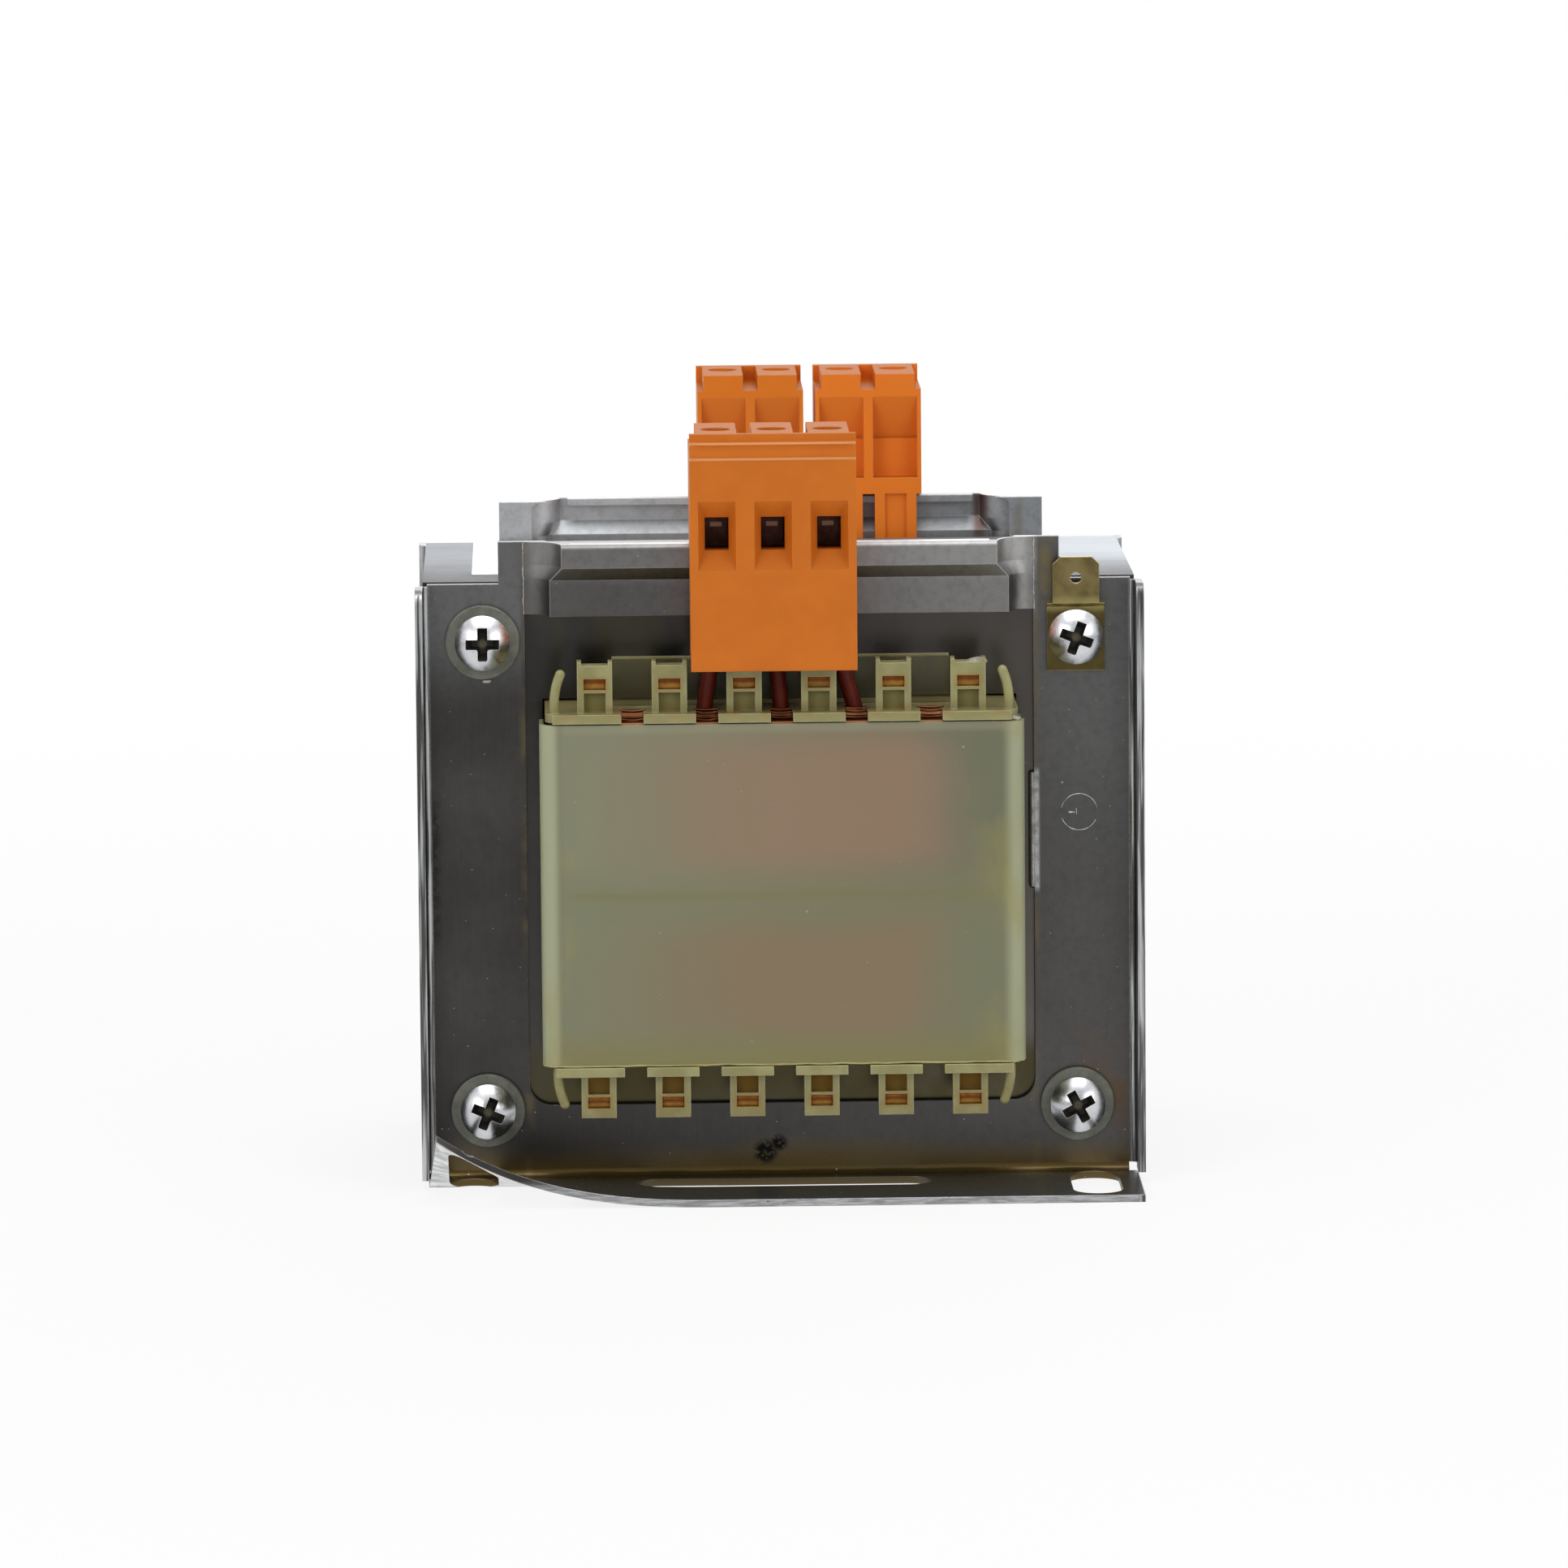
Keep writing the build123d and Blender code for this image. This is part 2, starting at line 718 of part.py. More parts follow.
def terminal_block(middle, poles, top):
    """Moulded terminal block with a clamp chamber and a wire entry for each pole."""
    width = poles * pole_pitch - block_side_gap
    left = middle - width / 2
    with BuildPart() as block:
        extrude(block_outline(left, top), amount=width)
        panel = (width - 2 * panel_wall - (poles - 1) * panel_rib) / poles
        for index in range(poles):
            recess = panel_outline(left + panel_wall + index * (panel + panel_rib), top)
            extrude(recess, amount=panel, mode=Mode.SUBTRACT)
        head_reach = (-(block_outer - head_rail), -block_inner)
        notch_z = (top - head_notch_depth, top)
        notch_half = head_notch_width / 2
        for index in range(poles + 1):
            x = middle - pole_pitch * poles / 2 + pole_pitch * index
            box_between((x - notch_half, x + notch_half), head_reach, notch_z, mode=Mode.SUBTRACT)
        box_between(
            (left - block_side_gap, left + width + block_side_gap),
            (-(block_outer - skirt_face), -block_inner),
            (top - block_height, top - block_height + skirt_relief),
            mode=Mode.SUBTRACT,
        )
        box_between(
            (left + lead_space_wall, left + width - lead_space_wall),
            (-chamber_outer, -chamber_inner),
            (top - block_height, top - block_height + lead_space_height),
            mode=Mode.SUBTRACT,
        )
        for x in pole_places(middle, poles):
            pole_features(x, top)
    return block.part


def pole_features(x, top):
    """Chamber, screw hole, wire entry and snap leg of one pole."""
    chamber_top = top - chamber_top_drop
    box_between(
        (x - chamber_width / 2, x + chamber_width / 2),
        (-chamber_outer, -chamber_inner),
        (top - block_height, chamber_top),
        mode=Mode.SUBTRACT,
    )
    with BuildSketch(Plane.XY.offset(chamber_top)) as hole:
        with Locations((x, -clamp_reach)):
            Circle(clamp_head / 2 + clamp_head_clearance)
    extrude(hole.sketch, amount=chamber_top_drop, mode=Mode.SUBTRACT)
    with BuildSketch(Plane.XZ.offset(block_outer)) as mouth:
        with Locations((x, top - funnel_drop)):
            Rectangle(funnel_width, funnel_height)
    with BuildSketch(Plane.XZ.offset(block_outer - funnel_depth)) as throat:
        with Locations((x, top - entry_drop)):
            Rectangle(entry_width, entry_height)
    loft([throat.sketch, mouth.sketch], mode=Mode.SUBTRACT)
    box_between(
        (x - entry_width / 2, x + entry_width / 2),
        (-(block_outer - funnel_depth), -chamber_outer),
        (top - entry_drop - entry_height / 2, top - entry_drop + entry_height / 2),
        mode=Mode.SUBTRACT,
    )
    leg_low = bridge_bottom - hook_gap - hook_height
    leg_x = (x - leg_width / 2, x + leg_width / 2)
    leg_outer = block_inner + leg_thickness
    box_between(leg_x, (-leg_outer, -block_inner), (leg_low, seat_z))
    box_between(leg_x, (-(leg_outer + hook_reach), -leg_outer), (leg_low, leg_low + hook_height))
    box_between(
        (x - leg_width / 2 + leg_rib, x + leg_width / 2 - leg_rib),
        (-(block_inner + leg_recess), -block_inner),
        (leg_low, seat_z),
        mode=Mode.SUBTRACT,
    )


def bar_bottom(top):
    """Underside of the contact tongue, just above the wire entry."""
    return top - entry_drop + entry_height / 2 + bar_above_entry


def tag_bottom(top):
    """Lower end of the contact tag, where the lead is joined."""
    return top - entry_drop - entry_height / 2 - tag_below_entry


def contact_bar(x, top):
    """Contact tongue through the cage, turned down to the lead."""
    bar_low = bar_bottom(top)
    tag_low = tag_bottom(top)
    with BuildPart() as bar:
        with BuildSketch(Plane.YZ.offset(x - bar_width / 2)):
            with BuildLine():
                Polyline(
                    (-cage_outer, bar_low),
                    (-cage_outer, bar_low + bar_thickness),
                    (-chamber_inner, bar_low + bar_thickness),
                    (-chamber_inner, tag_low),
                    (-(chamber_inner + bar_thickness), tag_low),
                    (-(chamber_inner + bar_thickness), bar_low),
                    close=True,
                )
            make_face()
        extrude(amount=bar_width)
    return bar.part


def clamp_cage(x, top):
    """Cage at its open end, with the wire opening and the threaded top."""
    bar_low = bar_bottom(top)
    floor_top = top - entry_drop - entry_height / 2 - cage_below_entry
    inside_top = bar_low + bar_thickness + bar_to_cage_top
    half = chamber_width / 2 - cage_side_gap
    with BuildPart() as cage:
        box_between((x - half, x + half), (-cage_outer, -cage_inner), (floor_top - cage_floor, inside_top + cage_top))
        box_between(
            (x - half + cage_wall, x + half - cage_wall),
            (-cage_outer, -cage_inner),
            (floor_top, inside_top),
            mode=Mode.SUBTRACT,
        )
        fillet(cage.edges().filter_by(Axis.Y).group_by(Axis.Z)[0], radius=cage_wall * 0.9)
        with BuildSketch(Plane.XY.offset(inside_top)):
            with Locations((x, -clamp_reach)):
                Circle(clamp_shank / 2 + thread_clearance)
        extrude(amount=cage_top, mode=Mode.SUBTRACT)
    return cage.part


def clamp_screw(x, top):
    """Slotted clamp screw, its tip on the contact bar."""
    tip = bar_bottom(top) + bar_thickness + clamp_tip_gap
    head_low = top - chamber_top_drop + cage_side_gap
    with BuildPart() as screw:
        with BuildSketch(Plane.XY.offset(tip)):
            with Locations((x, -clamp_reach)):
                Circle(clamp_shank / 2)
        extrude(amount=head_low - tip)
        with BuildSketch(Plane.XY.offset(head_low)):
            with Locations((x, -clamp_reach)):
                Circle(clamp_head / 2)
        extrude(amount=clamp_head_height)
        chamfer(screw.edges().group_by(Axis.Z)[0], length=clamp_shank * 0.1)
        slot_low = head_low + clamp_head_height - clamp_slot_depth
        box_between(
            (x - clamp_head, x + clamp_head),
            (-clamp_reach - clamp_slot_width / 2, -clamp_reach + clamp_slot_width / 2),
            (slot_low, slot_low + clamp_slot_depth),
            mode=Mode.SUBTRACT,
        )
    return screw.part


def lead(x, top, target):
    """Insulated lead from the contact tag down into a notch of the bobbin."""
    start_reach = chamber_inner + bar_thickness + lead_diameter / 2 + lead_tag_gap
    turn_z = top - block_height + lead_turn_above_block
    low_turn_z = top_flange_bottom + lead_low_turn
    start = (x, -start_reach, tag_bottom(top) + lead_overlap)
    turn = (x, -start_reach, turn_z)
    low_turn = (target, -lead_end_reach, low_turn_z)
    finish = (target, -lead_end_reach, top_flange_bottom)
    with BuildPart() as wire:
        with BuildLine() as route:
            FilletPolyline(start, turn, low_turn, finish, radius=lead_bend_radius)
        with BuildSketch(Plane(origin=start, z_dir=route.line % 0)):
            Circle(lead_diameter / 2)
        sweep()
    return wire.part


def cross(x, z, angle, reach, share):
    """Section of a cross recess, filled out between its arms, at one depth."""
    with BuildSketch(Plane.XZ.offset(reach)) as section:
        with Locations((x, z)):
            with Locations(Rotation(0, 0, angle)):
                Rectangle(recess_span * share, recess_arm * share)
                Rectangle(recess_arm * share, recess_span * share)
        heart = section.vertices().sort_by_distance(section.sketch.center())[:4]
        fillet(heart, radius=recess_corner * share)
    return section.sketch


def frame_screw(place):
    """Pan-head screw with a cross recess, through both brackets and the core."""
    x, z = bolt_places[place]
    end = washer_face + nut_height + screw_tail
    with BuildPart() as screw:
        with BuildSketch(Plane.XZ.offset(-end)):
            with Locations((x, z)):
                Circle(screw_size / 2)
        extrude(amount=end + washer_face)
        with BuildSketch(Plane.XZ.offset(washer_face)):
            with Locations((x, z)):
                Circle(screw_head / 2)
        extrude(amount=screw_head_height)
        fillet(screw.edges().group_by(Axis.Y)[0], radius=screw_head_height * 0.62)
        head_front = washer_face + screw_head_height
        recess_floor = cross(x, z, recess_angles[place], head_front - recess_depth, recess_taper)
        recess_mouth = cross(x, z, recess_angles[place], head_front, 1)
        loft([recess_floor, recess_mouth], ruled=True, mode=Mode.SUBTRACT)
    return screw.part


def washers(places, side):
    """Insulating washers under the heads (side -1) or the nuts (side 1)."""
    near = min(side * plate_front, side * washer_face)
    with BuildPart() as group:
        with BuildSketch(Plane.XZ.offset(-near)):
            with Locations(*[bolt_places[place] for place in places]):
                Circle(washer_diameter / 2)
                Circle(bolt_hole / 2, mode=Mode.SUBTRACT)
        extrude(amount=-washer_thickness)
        rims = group.edges().filter_by(GeomType.CIRCLE).group_by(SortBy.RADIUS)[-1]
        fillet(rims, radius=washer_thickness * 0.3)
    return group.part


def frame_nuts():
    """Hexagon nuts on the rear ends of the frame screws."""
    with BuildPart() as group:
        with BuildSketch(Plane.XZ.offset(-washer_face - nut_height)):
            with Locations(*bolt_places.values()):
                RegularPolygon(nut_across_flats / 2, 6, major_radius=False)
                Circle(screw_size / 2 + thread_clearance, mode=Mode.SUBTRACT)
        extrude(amount=nut_height)
    return group.part


def earth_tab():
    """Push-on tab: a base under one screw and a blade set forward by a joggle."""
    x, z = bolt_places["top_right"]
    joggle_low = z + tab_base_above
    joggle_high = joggle_low + tab_joggle_height
    blade_top = joggle_high + tab_blade
    with BuildPart() as tab:
        with BuildSketch(Plane.YZ.offset(x - tab_base_width / 2)):
            with BuildLine():
                Polyline(
                    (-plate_front, z - tab_base_below),
                    (-plate_front, joggle_low),
                    (-(plate_front + tab_joggle), joggle_high),
                    (-(plate_front + tab_joggle), blade_top),
                    (-(washer_face + tab_joggle), blade_top),
                    (-(washer_face + tab_joggle), joggle_high),
                    (-washer_face, joggle_low),
                    (-washer_face, z - tab_base_below),
                    close=True,
                )
            make_face()
        extrude(amount=tab_base_width)
        margin = (tab_base_width - tab_width) / 2
        for side in (-1, 1):
            edge = x + side * (tab_base_width / 2 - margin / 2)
            box_between(
                (edge - margin / 2, edge + margin / 2),
                (-(washer_face + tab_joggle), -(plate_front + tab_joggle)),
                (joggle_high, blade_top),
                mode=Mode.SUBTRACT,
            )
        tips = tab.edges().filter_by(Axis.Y).group_by(Axis.Z)[-1]
        chamfer(tips, length=tab_corner)
        with BuildSketch(Plane.XZ.offset(plate_front)):
            with Locations((x, joggle_high + tab_blade * 0.55)):
                Circle(tab_hole / 2)
            with Locations((x, z)):
                Circle(bolt_hole / 2)
        extrude(amount=washer_thickness + tab_joggle, mode=Mode.SUBTRACT)
    return tab.part


def blank_label():
    """Plain label on the top of the core."""
    left = -core_width / 2 + label_left_inset
    back = core_depth / 2 - label_back_inset
    with BuildPart() as label:
        box_between((left, left + label_length), (back - label_width, back), (core_top, core_top + label_thickness))
    return label.part


def to_rear(part):
    """The same piece turned half round the upright axis, for the rear side."""
    return part.rotate(Axis.Z, 180)


pieces = {
    "e_core_stack": e_stack(),
    "i_core_stack": i_stack(),
    "front_bracket": bracket(bent=True),
    "rear_bracket": to_rear(bracket(bent=False)),
    "bobbin": bobbin(),
    "primary_winding": winding(middle_flange_z + flange_thickness / 2, top_flange_bottom),
    "secondary_winding": winding(bottom_flange_top, middle_flange_z - flange_thickness / 2),
    "front_winding_cover": winding_cover(),
    "rear_winding_cover": to_rear(winding_cover()),
    "front_terminal_block": terminal_block(front_block_x, 3, front_block_top),
    "rear_left_terminal_block": to_rear(terminal_block(-rear_left_block_x, 2, rear_block_top)),
    "rear_right_terminal_block": to_rear(terminal_block(-rear_right_block_x, 2, rear_block_top)),
}

# Each pole of each block has a screw, a cage, a contact bar and a lead
front_poles = pole_places(front_block_x, 3)
rear_poles = pole_places(rear_left_block_x, 2) + pole_places(rear_right_block_x, 2)
for number, (x, target) in enumerate(zip(front_poles, front_lead_targets), start=1):
    pieces[f"clamp_screw_front_{number}"] = clamp_screw(x, front_block_top)
    pieces[f"clamp_cage_front_{number}"] = clamp_cage(x, front_block_top)
    pieces[f"contact_bar_front_{number}"] = contact_bar(x, front_block_top)
    pieces[f"lead_front_{number}"] = lead(x, front_block_top, target)
for number, (x, target) in enumerate(zip(rear_poles, rear_lead_targets), start=1):
    pieces[f"clamp_screw_rear_{number}"] = to_rear(clamp_screw(-x, rear_block_top))
    pieces[f"clamp_cage_rear_{number}"] = to_rear(clamp_cage(-x, rear_block_top))
    pieces[f"contact_bar_rear_{number}"] = to_rear(contact_bar(-x, rear_block_top))
    pieces[f"lead_rear_{number}"] = to_rear(lead(-x, rear_block_top, -target))

for place in bolt_places:
    pieces[f"frame_screw_{place}"] = frame_screw(place)
pieces["frame_nuts"] = frame_nuts()
pieces["front_insulating_washers"] = washers(["top_left", "bottom_left", "bottom_right"], -1)
pieces["rear_insulating_washers"] = washers(list(bolt_places), 1)
pieces["earth_tab"] = earth_tab()
pieces["blank_label"] = blank_label()

for name, solid in pieces.items():
    solid.label = name
    export_step(solid, f"parts/{name}.step")
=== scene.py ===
import json
import math
import random

import bpy
from mathutils import Matrix, Vector


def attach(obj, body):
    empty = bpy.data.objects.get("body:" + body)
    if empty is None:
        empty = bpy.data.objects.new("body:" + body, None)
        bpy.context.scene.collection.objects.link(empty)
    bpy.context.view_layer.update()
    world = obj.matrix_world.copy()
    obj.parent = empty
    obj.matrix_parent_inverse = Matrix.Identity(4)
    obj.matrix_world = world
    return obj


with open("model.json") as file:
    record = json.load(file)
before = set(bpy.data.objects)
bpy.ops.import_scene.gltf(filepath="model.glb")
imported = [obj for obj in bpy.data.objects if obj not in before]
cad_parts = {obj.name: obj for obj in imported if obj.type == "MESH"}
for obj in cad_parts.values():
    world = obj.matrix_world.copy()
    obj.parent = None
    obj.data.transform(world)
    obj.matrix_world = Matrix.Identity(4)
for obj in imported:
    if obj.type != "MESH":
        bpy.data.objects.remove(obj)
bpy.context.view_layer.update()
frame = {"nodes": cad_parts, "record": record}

# Control transformer on an EI core: finishes, fine pieces, camera, floor and light.
# Pieces are written in millimetres and scaled by MM. Materials read positions in metres.
MM = 0.001
BODY = "transformer"
rng = random.Random(7)

# Places taken over from the part's source, in millimetres
POST_X = (-25.0, -15.0, -5.0, 5.0, 15.0, 25.0)
POST_FRONT = 36.0
PLATE_FRONT = 24.15
RIDGE_TOP = 102.3
RIDGE_STEP = 2.05

# Places for the materials, in metres
HALF_PITCH = 0.005
MIDDLE_Z = 0.0422
BOLT_X = 0.040
BOLT_Z = 0.032
EYE_LINE_TOP = 0.07005
EYE_LINE_LOW = 0.0131

# Soft borders for the materials, in metres: a mask changes between the two numbers
FLANGE_BEND = (0.0470, 0.0474)
BRIDGE_SIDE = (0.0340, 0.0352)
BRIDGE_LOW = (0.0765, 0.0780)
BRIDGE_HIGH = (0.0815, 0.0850)
TO_REAR = (0.0, 0.01)
FROM_FRONT = (-0.01, 0.0)
GLINT = (0.0903, 0.0909)

WHITE = (1.0, 1.0, 1.0)


# Node helpers

class Tree:
    """A small builder for the nodes of one material or world."""

    def __init__(self, name, world=False):
        library = bpy.data.worlds if world else bpy.data.materials
        self.owner = library.new(name)
        self.owner.use_nodes = True
        self.nodes = self.owner.node_tree.nodes
        self.links = self.owner.node_tree.links
        self.nodes.clear()
        self.output = self.nodes.new("ShaderNodeOutputWorld" if world else "ShaderNodeOutputMaterial")

    def add(self, kind, inputs=None, **settings):
        node = self.nodes.new(kind)
        for key, value in settings.items():
            setattr(node, key, value)
        for key, value in (inputs or {}).items():
            self.put(node.inputs[key], value)
        return node

    def put(self, socket, value):
        if isinstance(value, bpy.types.NodeSocket):
            self.links.new(value, socket)
        elif isinstance(value, (tuple, list)) and socket.type == "RGBA" and len(value) == 3:
            socket.default_value = (*value, 1.0)
        else:
            socket.default_value = value

    def show(self, shader):
        self.links.new(shader.outputs[0], self.output.inputs["Surface"])

    def where(self):
        """Position in the part's own frame, in metres."""
        return self.add("ShaderNodeTexCoord").outputs["Object"]

    def normal(self):
        return self.add("ShaderNodeNewGeometry").outputs["Normal"]

    def axes(self, vector, names="XYZ"):
        split = self.add("ShaderNodeSeparateXYZ", {"Vector": vector}).outputs
        return [split[name] for name in names]

    def axis(self, vector, name):
        return self.add("ShaderNodeSeparateXYZ", {"Vector": vector}).outputs[name]

    def stretch(self, vector, scale):
        return self.add("ShaderNodeMapping", {"Vector": vector, "Scale": scale}).outputs[0]

    def math(self, operation, a, b=0.0):
        return self.add("ShaderNodeMath", {0: a, 1: b}, operation=operation).outputs[0]

    def chain(self, operation, values):
        total = values[0]
        for value in values[1:]:
            total = self.math(operation, total, value)
        return total

    def times(self, *values):
        return self.chain("MULTIPLY", values)

    def plus(self, *values):
        return self.chain("ADD", values)

    def most(self, *values):
        return self.chain("MAXIMUM", values)

    def size(self, value):
        return self.math("ABSOLUTE", value)

    def inverse(self, mask):
        return self.math("SUBTRACT", 1.0, mask)

    def ramp(self, value, low, high, out_low=0.0, out_high=1.0):
        """Smooth step of a value from low to high."""
        limits = {"Value": value, "From Min": low, "From Max": high, "To Min": out_low, "To Max": out_high}
        return self.add("ShaderNodeMapRange", limits, interpolation_type="SMOOTHSTEP").outputs[0]

    def fall(self, value, low, high):
        """1 below low, 0 above high."""
        return self.ramp(value, low, high, 1.0, 0.0)

    def between(self, value, low, high, soft):
        """1 between low and high, 0 outside, with soft edges."""
        rise = self.ramp(value, low - soft, low + soft)
        return self.times(rise, self.fall(value, high - soft, high + soft))

    def near_level(self, value, level):
        """1 within a fifth of a millimetre of a level."""
        return self.between(value, level - 0.00018, level + 0.00018, 0.00006)

    def near(self, vector, centre, radius, soft):
        """1 near a point, falling to 0 over the soft distance."""
        offset = self.add("ShaderNodeVectorMath", {0: vector, 1: centre}, operation="DISTANCE")
        return self.fall(offset.outputs["Value"], radius, radius + soft)

    def mix(self, factor, a, b):
        """Mix of two colours."""
        return self.add("ShaderNodeMix", {0: factor, 6: a, 7: b}, data_type="RGBA").outputs[2]

    def blend(self, factor, a, b):
        """Mix of two vectors."""
        return self.add("ShaderNodeMix", {0: factor, 4: a, 5: b}, data_type="VECTOR").outputs[1]

    def over(self, colour, paint, *masks):
        """The colour with paint over it where all the masks are 1."""
        return self.mix(self.times(*masks), colour, paint)

    def noise(self, vector, scale, detail=3.0, rough=0.55):
        inputs = {"Vector": vector, "Scale": scale, "Detail": detail, "Roughness": rough}
        return self.add("ShaderNodeTexNoise", inputs).outputs[0]

    def specks(self, vector, scale, size, share):
        """Sparse small dots."""
        cells = self.add("ShaderNodeTexVoronoi", {"Vector": vector, "Scale": scale, "Randomness": 1.0})
        dot = self.fall(cells.outputs["Distance"], size * 0.5, size)
        chosen = self.math("LESS_THAN", self.axis(cells.outputs["Color"], "X"), share)
        return self.times(dot, chosen)

    def rounded(self, radius):
        """Normal with rounded edges, and a mask that is 1 at the edges."""
        soft = self.add("ShaderNodeBevel", {"Radius": radius}, samples=4).outputs[0]
        same = self.add("ShaderNodeVectorMath", {0: soft, 1: self.normal()}, operation="DOT_PRODUCT")
        return soft, self.fall(same.outputs["Value"], 0.80, 0.995)

    def bump(self, height, strength, distance=0.0002, normal=None):
        inputs = {"Height": height, "Strength": strength, "Distance": distance}
        if normal is not None:
            inputs["Normal"] = normal
        return self.add("ShaderNodeBump", inputs).outputs[0]

    def surface(self, **inputs):
        """The main shader. Keys are socket names with underscores for spaces."""
        values = {key.replace("_", " "): value for key, value in inputs.items()}
        self.show(self.add("ShaderNodeBsdfPrincipled", values))
        return self.owner


def shade(grey, warm=0.0):
    """A near-grey colour, a little warmer with warm above zero."""
    return (grey * (1 + warm), grey, grey * (1 - warm))


def off_post(t, x):
    """Distance along X from the middle of the nearest post."""
    return t.math("SUBTRACT", HALF_PITCH, t.math("PINGPONG", x, HALF_PITCH))


# Sheet steel of the brackets, in four layers

def rear_bridge(t, at):
    """1 on the bridge of the rear bracket."""
    y, z = t.axes(at, "YZ")
    return t.times(t.ramp(y, *TO_REAR), t.ramp(z, 0.074, 0.082))


def sheet_tone_and_painted_light(t, at, broad, fine):
    """Grey sheet with painted light: lighter towards the top and to the right, lightest on the bridges."""
    x, z = t.axes(at, "XZ")
    # Painted light: lighter to the right, towards the top and at the top left
    to_right = t.ramp(x, -0.036, 0.044)
    colour = t.mix(t.ramp(z, 0.010, 0.060), shade(0.056, 0.07), shade(0.063, 0.05))
    right_painted_light = t.mix(t.ramp(z, 0.030, 0.070), shade(0.095, 0.03), shade(0.150, 0.01))
    colour = t.over(colour, right_painted_light, to_right)
    colour = t.over(colour, shade(0.188, -0.01), t.fall(x, -0.0352, -0.0340), t.ramp(z, 0.064, 0.078))

    # Painted highlights on the bridges, and painted light on the rear bridge
    inner = t.fall(t.size(x), *BRIDGE_SIDE)
    bridge_low_painted_light = t.mix(to_right, shade(0.125, 0.03), shade(0.310, 0.015))
    colour = t.over(colour, bridge_low_painted_light, t.ramp(z, *BRIDGE_LOW), inner)
    bridge_high_painted_light = t.mix(to_right, shade(0.240, 0.02), shade(0.430, 0.01))
    colour = t.over(colour, bridge_high_painted_light, t.ramp(z, *BRIDGE_HIGH), inner)
    rear_bridge_painted_light = t.mix(t.ramp(x, -0.020, 0.030), shade(0.52, -0.03), shade(0.37, -0.04))
    colour = t.over(colour, rear_bridge_painted_light, rear_bridge(t, at))

    grain = t.noise(t.stretch(at, (1, 1, 0.06)), 2600, 3, 0.6)
    colour = t.over(colour, shade(0.17, 0.02), t.ramp(broad, 0.38, 0.72, 0.0, 0.22))
    colour = t.over(colour, shade(0.045, 0.04), t.ramp(fine, 0.40, 0.75, 0.0, 0.22))
    return t.over(colour, shade(0.24), t.ramp(grain, 0.35, 0.8, 0.0, 0.03))


def sheet_varnish(t, at, colour, fine):
    """Varnish that ran down. Returns the colour and the masks of the fold and the foot."""
    x, y, z = t.axes(at)
    out_x, out_y = t.size(x), t.size(y)
    up = t.axis(t.normal(), "Z")

    cloud = t.noise(t.stretch(at, (0.35, 1, 1)), 130, 4, 0.6)
    height = t.plus(z, t.times(cloud, -0.006))
    fold = t.times(t.fall(height, -0.0020, 0.0034), t.fall(out_x, *FLANGE_BEND))
    fold = t.times(fold, t.fall(out_y, 0.0262, 0.0300))
    colour = t.over(colour, (0.125, 0.080, 0.014), fold, 0.90)
    foot = t.times(t.ramp(out_y, 0.0252, 0.0262), t.fall(z, 0.0120, 0.0135), t.ramp(up, 0.3, 0.7))
    colour = t.over(colour, (0.074, 0.078, 0.072), foot, t.ramp(fine, 0.3, 0.7, 0.75, 1.0))

    # Rust beside the right bend, a dark strip on the left edge, a tide line round the window
    rust = t.times(t.between(x, 0.0405, 0.0474, 0.0022), t.fall(z, 0.014, 0.024))
    colour = t.over(colour, (0.13, 0.075, 0.035), rust, t.ramp(t.noise(at, 90, 4, 0.65), 0.40, 0.62), 0.65)
    strip = t.times(t.between(x, -0.0478, -0.0462, 0.0006), t.between(z, 0.0335, 0.0523, 0.0030))
    colour = t.over(colour, shade(0.03, 0.1), strip, t.ramp(fine, 0.3, 0.6), 0.8)
    tide = t.times(t.between(out_x, 0.0338, 0.0350, 0.0005), t.ramp(t.noise(at, 140, 3), 0.42, 0.62))
    colour = t.over(colour, (0.20, 0.16, 0.08), tide, 0.5)

    # A drip beside the front bridge and a burnt stain on the rear one
    drip = t.times(t.between(x, 0.0352, 0.0372, 0.0006), t.ramp(z, 0.0765, 0.0800))
    drip = t.times(drip, t.ramp(t.noise(at, 200, 3), 0.35, 0.6), t.fall(y, *FROM_FRONT))
    colour = t.over(colour, (0.26, 0.21, 0.09), drip, 0.7)
    burnt = t.times(t.between(x, 0.0284, 0.0300, 0.0006), t.ramp(y, *TO_REAR), t.ramp(z, 0.080, 0.083))
    colour = t.over(colour, (0.13, 0.055, 0.030), burnt, 0.75)
    return colour, fold, foot


